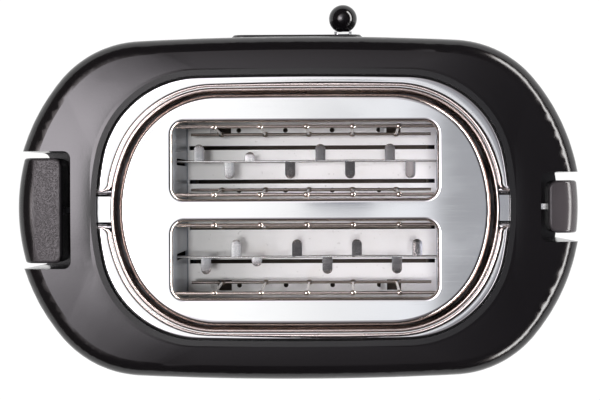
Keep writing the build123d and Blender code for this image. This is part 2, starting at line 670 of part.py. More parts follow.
def bezel_ring():
    """Pressed ring: trough floor, inner rim, the two end lands and lugs for the pivot pins."""
    plate = RING.grown(-SLIDER_GAP).slab(RING_Z, RING_TOP_Z)
    plate -= PANEL.grown(-PANEL_EDGE_ROLL - LIP_LEDGE).slab(RING_Z, RING_TOP_Z)
    rim = GROOVE.grown(RING_RIM_WIDTH).slab(RING_TOP_Z, RING_TOP_Z + RING_RIM_HEIGHT)
    rim -= GROOVE.slab(RING_TOP_Z, SHELL_TOP_Z)
    ring = joined([plate, rim, end_land(1), end_land(-1)])
    for side in (-1, 1):
        inner, outer = pivot_ends(side)
        eye_low, eye_high = eye_range(side)
        outer_lug = (eye_high + SLIDER_GAP, outer) if side > 0 else (outer, eye_low - SLIDER_GAP)
        for y in pivot_places():
            foot = block(outer_lug, around(y, 2 * HOOP_EYE_RADIUS), (RING_TOP_Z, PIVOT_Z))
            boss = rod((outer_lug[0], y, PIVOT_Z), (outer_lug[1], y, PIVOT_Z), HOOP_EYE_RADIUS)
            ring = ring.fuse(foot.fuse(boss) & RING.grown(-SLIDER_GAP).slab(RING_TOP_Z, SHELL_TOP_Z))
    for pin in pivot_pins():
        ring -= pin
    for y, toward in zip(pivot_places(), (-1, 1)):
        low = y - toward * HOOP_CRANK_WIDTH
        ring -= block(
            [x + grow for x, grow in zip(eye_range(1), (-SLIDER_GAP, SLIDER_GAP))],
            (low, y + toward * (HOOP_CRANK_LENGTH + HOOP_CRANK_WIDTH)),
            (RING_Z, RING_TOP_Z),
        )
    return ring.clean()


def pivot_places():
    """Y of the front and back hoop pivots."""
    return [hoop_mid_y() + side * HOOP_PIVOT_Y for side in (-1, 1)]


def pivot_pins():
    """Four pins that the hoops turn on, two at each end."""
    pins = []
    for side in (-1, 1):
        inner, outer = pivot_ends(side)
        for y in pivot_places():
            pins.append(rod((inner, y, PIVOT_Z), (outer, y, PIVOT_Z), HOOP_PIVOT_RADIUS))
    return pins


def slot_panel():
    """Steel top panel with rolled outer edge and two flanged bread slots."""
    panel = PANEL.slab(RING_TOP_Z, PANEL_TOP_Z)
    panel = fillet(panel.edges().group_by(Axis.Z)[-1], PANEL_EDGE_ROLL)
    hollow = PANEL.grown(-PANEL_SHEET).slab(RING_TOP_Z, PANEL_UNDER_Z)
    hollow = fillet(hollow.edges().group_by(Axis.Z)[-1], PANEL_EDGE_ROLL - PANEL_SHEET)
    panel -= hollow
    for y in SLOT_CENTRES_Y:
        across = around(y, SLOT_WIDTH)
        along = around(PANEL_OFFSET_X, SLOT_LENGTH)
        collar = rounded_block(
            [x + grow for x, grow in zip(along, (-PANEL_SHEET, PANEL_SHEET))],
            [v + grow for v, grow in zip(across, (-PANEL_SHEET, PANEL_SHEET))],
            (PANEL_TOP_Z - SLOT_FLANGE, PANEL_UNDER_Z),
            SLOT_CORNER_RADIUS + PANEL_SHEET,
        )
        panel = panel.fuse(collar)
        panel -= rounded_block(along, across, (RING_Z, SHELL_TOP_Z), SLOT_CORNER_RADIUS)
    panel = panel.clean()
    top_edges = panel.edges().group_by(Axis.Z)[-1]
    slot_edges = [edge for edge in top_edges if on_slot(edge.center())]
    return fillet(slot_edges, SLOT_ROLL)


def on_slot(point):
    """Whether a point lies on or inside a bread slot's outline."""
    near_x = abs(point.X - PANEL_OFFSET_X) < SLOT_LENGTH / 2 + SLOT_ROLL / 2
    return near_x and any(abs(point.Y - y) < SLOT_WIDTH / 2 + SLOT_ROLL / 2 for y in SLOT_CENTRES_Y)


def bun_hoop(side):
    """Half ring hoop with a raised inner rim, an eye at each end and one crank arm below."""
    outer = RING.grown(-2 * SLIDER_GAP)
    inner = GROOVE.grown(RING_RIM_WIDTH + SLIDER_GAP)
    band = outer.slab(HOOP_Z + SLIDER_GAP, HOOP_Z + HOOP_HEIGHT) - inner.slab(HOOP_Z, SHELL_TOP_Z)
    top = HOOP_Z + HOOP_HEIGHT + HOOP_RIM_HEIGHT
    rim = inner.grown(HOOP_RIM_WIDTH).slab(HOOP_Z + HOOP_HEIGHT, top) - inner.slab(HOOP_Z, SHELL_TOP_Z)
    pivot_y = hoop_mid_y() + side * HOOP_PIVOT_Y
    start = pivot_y + side * (HOOP_EYE_RADIUS + 2 * SLIDER_GAP)
    half = block((-SHELL_LENGTH, SHELL_LENGTH), (start, side * SHELL_DEPTH), (RING_Z, SHELL_TOP_Z))
    parts = [joined([band, rim]) & half]
    for end in (-1, 1):
        eye_low, eye_high = eye_range(end)
        low, high = ((x, pivot_y, PIVOT_Z) for x in (eye_low, eye_high))
        parts.append(rod(low, high, HOOP_EYE_RADIUS - SLIDER_GAP))
        root = (pivot_y, start + side * HOOP_EYE_RADIUS)
        parts.append(block((eye_low, eye_high), root, (HOOP_Z + SLIDER_GAP, PIVOT_Z + HOOP_PIVOT_RADIUS)))
    crank_x = eye_range(1)[0]
    parts.append(
        block(
            (crank_x, crank_x + HOOP_CRANK_THICKNESS),
            around(pivot_y, HOOP_CRANK_WIDTH),
            (PIVOT_Z - HOOP_CRANK_LENGTH, PIVOT_Z),
        )
    )
    hoop = joined(parts)
    for end in (-1, 1):
        inner_x, outer_x = pivot_ends(end)
        hoop -= rod((inner_x, pivot_y, PIVOT_Z), (outer_x, pivot_y, PIVOT_Z), HOOP_PIVOT_RADIUS + GUIDE_FIT)
    return hoop.clean()


def end_wall(x_range):
    """Upright chamber end sheet with a slot for each bread strip and holes for the guard wires."""
    wall = block(x_range, (CHAMBER_MIN_Y, CHAMBER_MAX_Y), (FLOOR_TOP_Z, CHAMBER_TOP_Z))
    tab_y = around(PANEL_OFFSET_Y, SLOT_SPACING)
    wall = wall.fuse(block(x_range, tab_y, (CHAMBER_TOP_Z, PANEL_UNDER_Z)))
    for y in SLOT_CENTRES_Y:
        wall -= block(
            x_range,
            around(y, STRIP_THICKNESS + 2 * STRIP_SLOT_GAP),
            (STRIP_FOOT_Z - LIFT_TRAVEL - 1, STRIP_TOP_Z + 1),
        )
        for offset in (-GUARD_TOP_OFFSET, GUARD_TOP_OFFSET):
            ends = [(x, y + offset, GUARD_TOP_Z) for x in x_range]
            wall -= rod(*ends, GUARD_PIVOT_WIRE / 2 + GUARD_HOLE_GAP)
    return wall.clean()


def chamber_floor():
    """Bottom sheet with long crumb gaps, small holes and lanced tab holes."""
    along = (CHAMBER_MIN_X, CHAMBER_MAX_X)
    z_range = (CHAMBER_FLOOR_Z - SHEET, CHAMBER_FLOOR_Z)
    floor = block(along, (CHAMBER_MIN_Y, CHAMBER_MAX_Y), z_range)
    gap_length = CHAMBER_MAX_X - CHAMBER_MIN_X - 2 * CRUMB_GAP_END
    for pair in (-1, 1):
        for side in (-1, 1):
            y = CRUMB_GAP_Y + pair * CRUMB_GAP_PAIR_SPACING / 2 + side * CRUMB_GAP_SPACING / 2
            floor -= block(around(CHAMBER_MID_X, gap_length), around(y, CRUMB_GAP_WIDTH), z_range)
        edge_y = PANEL_OFFSET_Y + pair * (SLOT_SPACING / 2 + SLOT_WIDTH / 2 - FLOOR_HOLE_RADIUS)
        for step in (-1.5, -0.5, 0.5, 1.5):
            x = PANEL_OFFSET_X + step * FLOOR_HOLE_PITCH
            for y in (edge_y, CRUMB_GAP_Y + pair * FLOOR_LANCE_LENGTH):
                floor -= rod((x, y, z_range[0]), (x, y, z_range[1]), FLOOR_HOLE_RADIUS)
        for side in (-1, 1):
            x = PANEL_OFFSET_X + side * 2 * GUARD_PITCH
            floor -= block(around(x, FLOOR_LANCE_LENGTH), around(edge_y, FLOOR_LANCE_WIDTH), z_range)
    return floor.clean()


def reflector(y_range):
    """Polished sheet behind an outer heater."""
    return block((CHAMBER_MIN_X, CHAMBER_MAX_X), y_range, (CHAMBER_FLOOR_Z, CHAMBER_TOP_Z))


def mica_boards():
    """Name and middle Y of each heater board."""
    outer = SLOT_WIDTH / 2 + OUTER_MICA_SETBACK
    return {
        "front_heater": SLOT_CENTRES_Y[0] - outer,
        "centre_heater": PANEL_OFFSET_Y,
        "back_heater": SLOT_CENTRES_Y[1] + outer,
    }


def heater_board(y):
    """Mica board held between the end walls."""
    return block(
        (CHAMBER_MIN_X, CHAMBER_MAX_X),
        around(y, MICA_THICKNESS),
        (MICA_FOOT_Z, MICA_FOOT_Z + MICA_HEIGHT),
    )


def heater_ribbon(y, face):
    """One resistance ribbon that runs to and fro across a face of a board, without a break."""
    depth = (y + face * MICA_THICKNESS / 2, y + face * (MICA_THICKNESS / 2 + RIBBON_THICKNESS))
    low_x = CHAMBER_MIN_X + RIBBON_MARGIN
    high_x = CHAMBER_MAX_X - RIBBON_MARGIN
    count = int((MICA_HEIGHT - 2 * RIBBON_MARGIN) // RIBBON_PITCH) + 1
    pieces = []
    for index in range(count):
        z = MICA_FOOT_Z + RIBBON_MARGIN + index * RIBBON_PITCH
        pieces.append(block((low_x, high_x), depth, (z, z + RIBBON_HEIGHT)))
        if index + 1 < count:
            end_x = (high_x - RIBBON_HEIGHT, high_x) if index % 2 else (low_x, low_x + RIBBON_HEIGHT)
            pieces.append(block(end_x, depth, (z, z + RIBBON_PITCH + RIBBON_HEIGHT)))
    return joined(pieces)


def wire_guard(slot_y, side):
    """Bread guard: pivot wire at the top, five leaning wires and a lower wire, all round wire."""
    top_y = slot_y + side * GUARD_TOP_OFFSET
    low_y = slot_y + side * GUARD_LOW_OFFSET
    top_ends = [(x, top_y, GUARD_TOP_Z) for x in (CHAMBER_MIN_X - SHEET, CHAMBER_MAX_X + SHEET)]
    low_x = (CHAMBER_MIN_X + GUARD_LOW_SETBACK, CHAMBER_MAX_X - GUARD_LOW_SETBACK)
    low_ends = [(x, low_y, GUARD_LOW_Z) for x in low_x]
    pieces = [rod(*top_ends, GUARD_PIVOT_WIRE / 2), rod(*low_ends, GUARD_WIRE / 2)]
    span = (GUARD_COUNT - 1) * GUARD_PITCH / 2
    for index in range(GUARD_COUNT):
        x = GUARD_X - span + index * GUARD_PITCH
        pieces.append(rod((x, low_y, GUARD_LOW_Z), (x, top_y, GUARD_TOP_Z), GUARD_WIRE / 2 - GUARD_TAPER))
    return joined(pieces)


def bread_strip(slot_y, outer_side):
    """Upright strip along a slot with flat rounded tongues to both sides."""
    low_x = BRACKET_X
    high_x = CHAMBER_MAX_X + SHEET + STRIP_END_RUN
    pieces = [block((low_x, high_x), around(slot_y, STRIP_THICKNESS), (STRIP_FOOT_Z, STRIP_TOP_Z))]
    shift = -outer_side * TONGUE_SHIFT
    for side, shares in ((outer_side, OUTER_TONGUE_SHARES), (-outer_side, INNER_TONGUE_SHARES)):
        for share in shares:
            x_range = around(share * SLOT_LENGTH + shift, TONGUE_WIDTH)
            reach = SHORT_TONGUE_REACH if share == SHORT_TONGUE_SHARE else TONGUE_REACH
            y_range = (slot_y, slot_y + side * reach)
            tongue = block(x_range, y_range, (STRIP_TOP_Z - TONGUE_THICKNESS, STRIP_TOP_Z))
            tip = tongue.edges().filter_by(Axis.Z).sort_by(Axis.Y)
            tip = tip[-2:] if side > 0 else tip[:2]
            pieces.append(fillet(tip, (TONGUE_WIDTH - TONGUE_TIP_FLAT) / 2))
    return joined(pieces)


def lift_bracket():
    """Sheet plate that joins both strips, with a bush on each guide rod."""
    bracket = block(
        (BRACKET_X - BRACKET_THICKNESS, BRACKET_X),
        around(PANEL_OFFSET_Y, 2 * BRACKET_HALF_Y),
        (STRIP_FOOT_Z, STRIP_TOP_Z + BRACKET_RISE),
    )
    z_range = (BUSH_FOOT_Z, BUSH_FOOT_Z + GUIDE_BUSH_HEIGHT)
    for y in rod_places():
        bracket = bracket.fuse(block(around(ROD_X, GUIDE_BUSH), around(y, GUIDE_BUSH), z_range))
        low, high = ((ROD_X, y, z) for z in z_range)
        bracket -= rod(low, high, GUIDE_ROD_RADIUS + GUIDE_FIT)
    return bracket.clean()


def lever_cap(x_range, width, middle_y, height, side):
    """Hollow moulded lever whose top and outer face follow the shell's form, open below and behind."""
    z_range = (LEVER_TOP_Z - height, SHELL_TOP_Z)
    bar = block(x_range, around(middle_y, width), z_range)
    inner_edges = bar.edges().filter_by(Axis.Z).sort_by(Axis.X)
    inner_edges = inner_edges[:2] if side > 0 else inner_edges[-2:]
    lowered_shell = Pos(0, 0, -LEVER_TOP_DROP) * shell_form(-LEVER_END_GAP)
    cap = (fillet(inner_edges, LEVER_INNER_CORNER) & lowered_shell).solids()[0]
    near_top = [edge for edge in cap.edges() if edge.center().Z > LEVER_TOP_Z - LEVER_TOP_BAND]
    rim = [edge for edge in near_top if abs(edge.center().X) < LEVER_OUTER_X - SHOULDER_RADIUS]
    cap = fillet(rim, LEVER_ROLL)
    inner_x = (x_range[0] - LEVER_SKIN, x_range[1] - 2 * LEVER_SKIN)
    hollow_top = RACK_ARM_Z
    if side < 0:
        inner_x = (x_range[0] + 2 * LEVER_SKIN, x_range[1] + LEVER_SKIN)
        hollow_top = LIFT_ARM_Z
    hollow_z = (z_range[0] - LEVER_SKIN, hollow_top)
    return cap - block(inner_x, around(middle_y, width - 2 * LEVER_SKIN), hollow_z)


def rack_lever():
    """Wide bun rack lever at the +X end."""
    across = (RACK_LEVER_INNER_X, LEVER_OUTER_X)
    return lever_cap(across, RACK_LEVER_WIDTH, RACK_LEVER_Y, RACK_LEVER_HEIGHT, 1) - rack_arm_bar()


def rack_arm_bar():
    """Bar from the rack slide into the lever."""
    x_range = (RACK_ROD_X + GUIDE_BUSH / 2, LEVER_OUTER_X - 3 * LEVER_SKIN)
    return block(x_range, around(RACK_LEVER_Y, ARM_THICKNESS), (RACK_ARM_Z, RACK_ARM_Z + ARM_HEIGHT))


def rack_slide():
    """Slide block on the rack rod with the arm that carries the rack lever."""
    half = GUIDE_BUSH / 2
    z_range = (RACK_ARM_Z - GUIDE_BUSH_HEIGHT + ARM_HEIGHT, RACK_ARM_Z + ARM_HEIGHT)
    body = block((RACK_ROD_X - half, RACK_ROD_X + half), around(RACK_LEVER_Y, GUIDE_BUSH), z_range)
    body = body.fuse(rack_arm_bar())
    fit = GUIDE_ROD_RADIUS + GUIDE_FIT
    return body - rod((RACK_ROD_X, RACK_LEVER_Y, z_range[0]), (RACK_ROD_X, RACK_LEVER_Y, z_range[1]), fit)


def lift_arm():
    """Metal arm from the bracket through the channel's slot into the lift lever."""
    x_range = (BRACKET_X - BRACKET_THICKNESS, -LEVER_OUTER_X + 3 * LEVER_SKIN)
    return block(x_range, around(LIFT_LEVER_Y, ARM_THICKNESS), (LIFT_ARM_Z, LIFT_ARM_Z + ARM_HEIGHT))


def lift_lever():
    """Narrow lift lever at the -X end."""
    across = (-LEVER_OUTER_X, LIFT_LEVER_INNER_X)
    return lever_cap(across, LIFT_LEVER_WIDTH, LIFT_LEVER_Y, LIFT_LEVER_HEIGHT, -1) - lift_arm()


def armature_plate():
    """Steel plate under the lift arm that the magnet holds."""
    return block(
        around(MAGNET_X, MAGNET_DEPTH),
        around(LIFT_LEVER_Y, MAGNET_SPAN),
        (LIFT_ARM_Z - ARMATURE_THICKNESS, LIFT_ARM_Z),
    )


def guide_rods():
    """The carriage's two upright rods."""
    ends = [[(ROD_X, y, z) for z in (SPRING_SEAT_Z, ROD_TOP_Z)] for y in rod_places()]
    return Compound([rod(low, high, GUIDE_ROD_RADIUS) for low, high in ends])


def rod_bridge():
    """Plate that ties the carriage rods' tops to the chamber's end wall."""
    z_range = (ROD_TOP_Z - BRIDGE_THICKNESS, ROD_TOP_Z)
    reach = 2 * (GUIDE_ROD_HALF_SPACING + GUIDE_ROD_RADIUS + BRIDGE_THICKNESS)
    plate = block((ROD_X - GUIDE_BUSH / 2, CHAMBER_MIN_X - SHEET), around(PANEL_OFFSET_Y, reach), z_range)
    return plate - guide_rods()


def rack_rod():
    """The rack slide's upright rod."""
    low, high = ((RACK_ROD_X, RACK_LEVER_Y, z) for z in (SPRING_SEAT_Z, ROD_TOP_Z))
    return rod(low, high, GUIDE_ROD_RADIUS)


def rack_bridge():
    """Plate that ties the rack rod's top to the other end wall."""
    z_range = (ROD_TOP_Z - BRIDGE_THICKNESS, ROD_TOP_Z)
    x_range = (CHAMBER_MAX_X + SHEET, RACK_ROD_X + GUIDE_BUSH / 2)
    plate = block(x_range, around(RACK_LEVER_Y, 2 * GUIDE_BUSH), z_range)
    return plate - rack_rod()


def lift_spring(y):
    """Space of a compression spring round a guide rod, between boss and bush."""
    z_range = (SPRING_SEAT_Z, BUSH_FOOT_Z)
    outside = rod((ROD_X, y, z_range[0]), (ROD_X, y, z_range[1]), SPRING_OUTER_RADIUS)
    return outside - rod((ROD_X, y, z_range[0]), (ROD_X, y, z_range[1]), SPRING_INNER_RADIUS)


def magnet_legs():
    """Y ranges of the core's two legs."""
    low, high = around(LIFT_LEVER_Y, MAGNET_SPAN)
    return (low, low + MAGNET_LEG), (high - MAGNET_LEG, high)


def magnet_core():
    """U shaped iron core of the latch magnet."""
    top = LATCHED_ARM_Z - ARMATURE_THICKNESS - LATCH_GAP
    x_range = around(MAGNET_X, MAGNET_DEPTH)
    yoke_z = (MAGNET_FOOT_Z, MAGNET_FOOT_Z + MAGNET_LEG)
    yoke = block(x_range, around(LIFT_LEVER_Y, MAGNET_SPAN), yoke_z)
    return joined([yoke, *[block(x_range, leg, (MAGNET_FOOT_Z, top)) for leg in magnet_legs()]])


def magnet_coils():
    """A wound bobbin on each leg of the core."""
    top = LATCHED_ARM_Z - ARMATURE_THICKNESS - LATCH_GAP
    coils = []
    for leg in magnet_legs():
        x_range = around(MAGNET_X, MAGNET_DEPTH + 2 * COIL_WALL)
        z_range = (MAGNET_FOOT_Z + MAGNET_LEG, top - COIL_WALL)
        outside = rounded_block(x_range, (leg[0] - COIL_WALL, leg[1] + COIL_WALL), z_range, COIL_WALL)
        coils.append(outside - block(around(MAGNET_X, MAGNET_DEPTH), leg, z_range))
    return Compound(coils)


def power_switch():
    """Switch block under the lift arm with two contact leaves."""
    top = LATCHED_ARM_Z - LATCH_GAP
    body_top = top - SWITCH_LEAF_HEIGHT
    x_range = around(SWITCH_X, SWITCH_LENGTH)
    body = block(x_range, around(LIFT_LEVER_Y, SWITCH_WIDTH), (SWITCH_FOOT_Z, body_top))
    leaf_places = around(LIFT_LEVER_Y, SWITCH_LEAF_SPACING)
    leaves = [block(x_range, around(y, SWITCH_LEAF_WIDTH), (body_top, top)) for y in leaf_places]
    return joined([body, *leaves])


def main_board():
    """Upright power board beside the lift channel."""
    return block(
        (MAIN_BOARD_X - BOARD_THICKNESS, MAIN_BOARD_X),
        (MAIN_BOARD_MIN_Y, MAIN_BOARD_MIN_Y + MAIN_BOARD_WIDTH),
        (FLOOR_TOP_Z, FLOOR_TOP_Z + MAIN_BOARD_HEIGHT),
    )


def main_board_parts():
    """Relay, capacitor and heat sink on the power board."""
    middle = MAIN_BOARD_MIN_Y + MAIN_BOARD_WIDTH / 2
    relay_z = (RELAY_FOOT_Z, RELAY_FOOT_Z + RELAY_HEIGHT)
    relay = block((MAIN_BOARD_X, MAIN_BOARD_X + RELAY_DEPTH), around(middle, RELAY_WIDTH), relay_z)
    ends = [(x, middle, CAPACITOR_Z) for x in (MAIN_BOARD_X, MAIN_BOARD_X + CAPACITOR_LENGTH)]
    capacitor = rod(*ends, CAPACITOR_RADIUS)
    sink_z = (HEAT_SINK_FOOT_Z, HEAT_SINK_FOOT_Z + HEAT_SINK_HEIGHT)
    sink = block((MAIN_BOARD_X, MAIN_BOARD_X + HEAT_SINK_DEPTH), around(middle, HEAT_SINK_WIDTH), sink_z)
    return Compound([relay, capacitor, sink])


def control_board():
    """Upright board behind the front wall, standing on the base."""
    return block(
        around(PLATE_X, CONTROL_BOARD_WIDTH),
        (CONTROL_BOARD_Y - BOARD_THICKNESS, CONTROL_BOARD_Y),
        (FLOOR_TOP_Z, TRACK_Z + WIPER_HEIGHT),
    )


def button_switches():
    """Three small switches on the control board, one behind each button."""
    y_range = (WIPER_Y - BUTTON_SWITCH_DEPTH, WIPER_Y)
    z_range = around(BUTTON_Z, BUTTON_SWITCH_SIDE)
    return Compound([block(around(x, BUTTON_SWITCH_SIDE), y_range, z_range) for x in button_places()])


def browning_resistor():
    """Slide resistor's body on the control board, behind the wiper."""
    return block(
        (SLIDER_X - SLIDER_PAD_WIDTH, SLIDER_X + SLIDER_TRAVEL + SLIDER_PAD_WIDTH),
        (WIPER_Y - RESISTOR_DEPTH, WIPER_Y),
        around(TRACK_Z, WIPER_HEIGHT),
    )


def plate_outline(margin, y_range):
    """Rounded front plate block with a margin all round."""
    box = block(
        around(PLATE_X, PLATE_WIDTH + 2 * margin),
        y_range,
        (PLATE_FOOT_Z - margin, PLATE_FOOT_Z + PLATE_HEIGHT + margin),
    )
    return fillet(box.edges().filter_by(Axis.Y), PLATE_CORNER_RADIUS + margin)


def control_plate():
    """Dark plate on the front with chamfered edges, a slider slot and three button holes."""
    plate = plate_outline(0, (PLATE_FRONT_Y, PLATE_BACK_Y))
    plate = chamfer(plate.edges().group_by(Axis.Y)[0], PLATE_CHAMFER)
    for window in front_windows(PLATE_BACK_Y, PLATE_FRONT_Y):
        plate -= window
    return plate.clean()


def plate_trim():
    """Bright surround between the plate and the shell's front wall."""
    trim = plate_outline(TRIM_MARGIN, (PLATE_BACK_Y, CONTROL_BOARD_Y)) - shell_form(0)
    for window in front_windows(CONTROL_BOARD_Y, PLATE_BACK_Y):
        trim -= window
    return trim.clean()


def browning_fork():
    """Slider carrier: stem through the slot, pad on the plate and the knob's two legs."""
    stem = block(
        around(SLIDER_X, 2 * SLIDER_STEM - 2 * SLIDER_GAP),
        (SLIDER_PAD_Y, WIPER_Y - RESISTOR_DEPTH - SLIDER_GAP),
        around(TRACK_Z, TRACK_HEIGHT - 2 * SLIDER_GAP),
    )
    pad_front = SLIDER_PAD_Y - SLIDER_PAD_THICKNESS
    pad_z = around(TRACK_Z, SLIDER_PAD_HEIGHT)
    pad = block(around(SLIDER_X, SLIDER_PAD_WIDTH), (pad_front, SLIDER_PAD_Y), pad_z)
    pieces = [stem, fillet(pad.edges().filter_by(Axis.Y), SLIDER_PAD_CORNER)]
    for side in (-1, 1):
        leg_x = around(SLIDER_X + side * LEG_SPACING / 2, LEG_THICKNESS)
        pieces.append(block(leg_x, (BALL_BACK_Y, pad_front), around(TRACK_Z, LEG_HEIGHT)))
    return joined(pieces)


def browning_ball():
    """Ball knob with a flat back on the fork's legs."""
    ball = Pos(SLIDER_X, BALL_CENTRE_Y, TRACK_Z) * Sphere(BALL_RADIUS)
    reach = 2 * BALL_RADIUS
    return ball & block(around(SLIDER_X, reach), (BALL_FRONT_Y, BALL_BACK_Y), around(TRACK_Z, reach))


def push_button(x):
    """Round button: domed cap in the plate's hole, keeper flange behind the wall and a stem."""
    front = PLATE_FRONT_Y - BUTTON_STAND
    flange_front = SHELL_DRAFT + SHELL_WALL - SHELL_DEPTH / 2
    flange_back = flange_front + BUTTON_FLANGE
    stem_end = WIPER_Y - BUTTON_SWITCH_DEPTH - BUTTON_TRAVEL - SLIDER_GAP
    cap = rod((x, front, BUTTON_Z), (x, flange_back, BUTTON_Z), BUTTON_RADIUS)
    cap = fillet(cap.edges().group_by(Axis.Y)[0], BUTTON_EDGE)
    flange_radius = BUTTON_RADIUS + BUTTON_FLANGE
    flange = rod((x, flange_front, BUTTON_Z), (x, flange_back, BUTTON_Z), flange_radius)
    stem = rod((x, flange_back, BUTTON_Z), (x, stem_end, BUTTON_Z), BUTTON_STEM_RADIUS)
    return joined([cap, flange, stem])


def crumb_tray():
    """Shallow sheet tray on the base's rails."""
    end_y = SHELL_DEPTH / 2 - SHELL_DRAFT - SHELL_WALL
    z_range = (TRAY_FOOT_Z, TRAY_FOOT_Z + TRAY_HEIGHT)
    tray = block((TRAY_MIN_X, TRAY_MAX_X), (TRAY_FRONT_Y, end_y), z_range)
    tray -= block(
        (TRAY_MIN_X + TRAY_SHEET, TRAY_MAX_X - TRAY_SHEET),
        (TRAY_FRONT_Y + TRAY_SHEET, end_y - TRAY_SHEET),
        (TRAY_FOOT_Z + TRAY_SHEET, TRAY_FOOT_Z + TRAY_HEIGHT),
    )
    return tray


def tray_door():
    """Moulded door on the tray's back that follows the shell, with a finger grip."""
    opening_x, opening_z = tray_opening(TRAY_DOOR_MARGIN)
    door = shell_form(TRAY_DOOR_THICKNESS) & block(opening_x, (0, SHELL_DEPTH), opening_z)
    door -= shell_form(TRAY_DOOR_GAP)
    end_y = SHELL_DEPTH / 2 - SHELL_DRAFT - SHELL_WALL
    neck_x, neck_z = tray_opening(0)
    neck = block(neck_x, (end_y, SHELL_DEPTH), neck_z) & shell_form(TRAY_DOOR_THICKNESS)
    grip_z = TRAY_FOOT_Z + TRAY_HEIGHT - HANDLE_HEIGHT
    grip_x = around((TRAY_MIN_X + TRAY_MAX_X) / 2, HANDLE_WIDTH)
    grip = shell_form(TRAY_DOOR_THICKNESS) & block(grip_x, (0, SHELL_DEPTH), (0, grip_z))
    door = door.fuse(neck)
    door -= grip - shell_form(TRAY_DOOR_GAP)
    return door.clean()


def cord_gland():
    """Round cord inlet bush in the back wall."""
    wall_y = SHELL_DEPTH / 2
    start = wall_y - SHELL_DRAFT - 3 * SHELL_WALL
    body = rod((GLAND_X, start, GLAND_Z), (GLAND_X, wall_y, GLAND_Z), GLAND_BODY_RADIUS)
    flange = rod((GLAND_X, start, GLAND_Z), (GLAND_X, wall_y + SHELL_WALL, GLAND_Z), GLAND_FLANGE_RADIUS)
    flange = (flange & shell_form(GLAND_FLANGE_THICKNESS)) - shell_form(0)
    body = body & shell_form(GLAND_FLANGE_THICKNESS)
    bore = rod((GLAND_X, start, GLAND_Z), (GLAND_X, wall_y + SHELL_WALL, GLAND_Z), GLAND_BORE_RADIUS)
    return joined([body, flange]) - bore


def write_node(name, shape):
    """Moves a piece into the exported frame and writes it."""
    export_step(Pos(0, FRAME_SHIFT_Y, 0) * shape, f"parts/{name}.step")


os.makedirs("parts", exist_ok=True)

wall_ranges = {
    "rack_end_wall": (CHAMBER_MAX_X, CHAMBER_MAX_X + SHEET),
    "lift_end_wall": (CHAMBER_MIN_X - SHEET, CHAMBER_MIN_X),
}
nodes = {
    "outer_shell": outer_shell(),
    "base_tray": base_tray(),
    "rubber_feet": rubber_feet(),
    "base_screws": base_screws(),
    "bezel_ring": bezel_ring(),
    "slot_panel": slot_panel(),
    "hoop_pivots": Compound(pivot_pins()),
    "front_hoop": bun_hoop(-1),
    "back_hoop": bun_hoop(1),
    "chamber_floor": chamber_floor(),
    "front_reflector": reflector((CHAMBER_MIN_Y, CHAMBER_MIN_Y + SHEET)),
    "back_reflector": reflector((CHAMBER_MAX_Y - SHEET, CHAMBER_MAX_Y)),
    "front_bread_strip": bread_strip(SLOT_CENTRES_Y[0], -1),
    "back_bread_strip": bread_strip(SLOT_CENTRES_Y[1], 1),
    "lift_bracket": lift_bracket(),
    "lift_arm": lift_arm(),
    "lift_lever": lift_lever(),
    "armature_plate": armature_plate(),
    "guide_rods": guide_rods(),
    "rod_bridge": rod_bridge(),
    "rack_lever": rack_lever(),
    "rack_slide": rack_slide(),
    "rack_rod": rack_rod(),
    "rack_bridge": rack_bridge(),
    "magnet_core": magnet_core(),
    "magnet_coils": magnet_coils(),
    "power_switch": power_switch(),
    "main_board": main_board(),
    "main_board_parts": main_board_parts(),
    "control_board": control_board(),
    "button_switches": button_switches(),
    "browning_resistor": browning_resistor(),
    "control_plate": control_plate(),
    "plate_trim": plate_trim(),
    "browning_fork": browning_fork(),
    "browning_ball": browning_ball(),
    "crumb_tray": crumb_tray(),
    "tray_door": tray_door(),
    "cord_gland": cord_gland(),
}
for name, x_range in wall_ranges.items():
    nodes[name] = end_wall(x_range)
for name, y in mica_boards().items():
    nodes[f"{name}_board"] = heater_board(y)
    faces = {"front_heater": (1,), "centre_heater": (-1, 1), "back_heater": (-1,)}[name]
    nodes[f"{name}_ribbon"] = Compound([heater_ribbon(y, face) for face in faces])
for slot_name, slot_y in zip(("front", "back"), SLOT_CENTRES_Y):
    for side_name, side in (("front", -1), ("back", 1)):
        nodes[f"{slot_name}_slot_{side_name}_guard"] = wire_guard(slot_y, side)
for name, y in zip(("front_lift_spring", "back_lift_spring"), rod_places()):
    nodes[name] = lift_spring(y)
for name, x in zip(("cancel_button", "reheat_button", "defrost_button"), button_places()):
    nodes[name] = push_button(x)

for name, shape in nodes.items():
    write_node(name, shape)
print(len(nodes), "nodes, frame shift", round(FRAME_SHIFT_Y, 3))
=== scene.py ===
"""Looks of a two slot toaster with a bun rack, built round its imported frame."""

import json
import logging
import math
from dataclasses import dataclass, field
from enum import Enum

import bmesh
import bpy
import numpy as np
from mathutils import Matrix, Vector


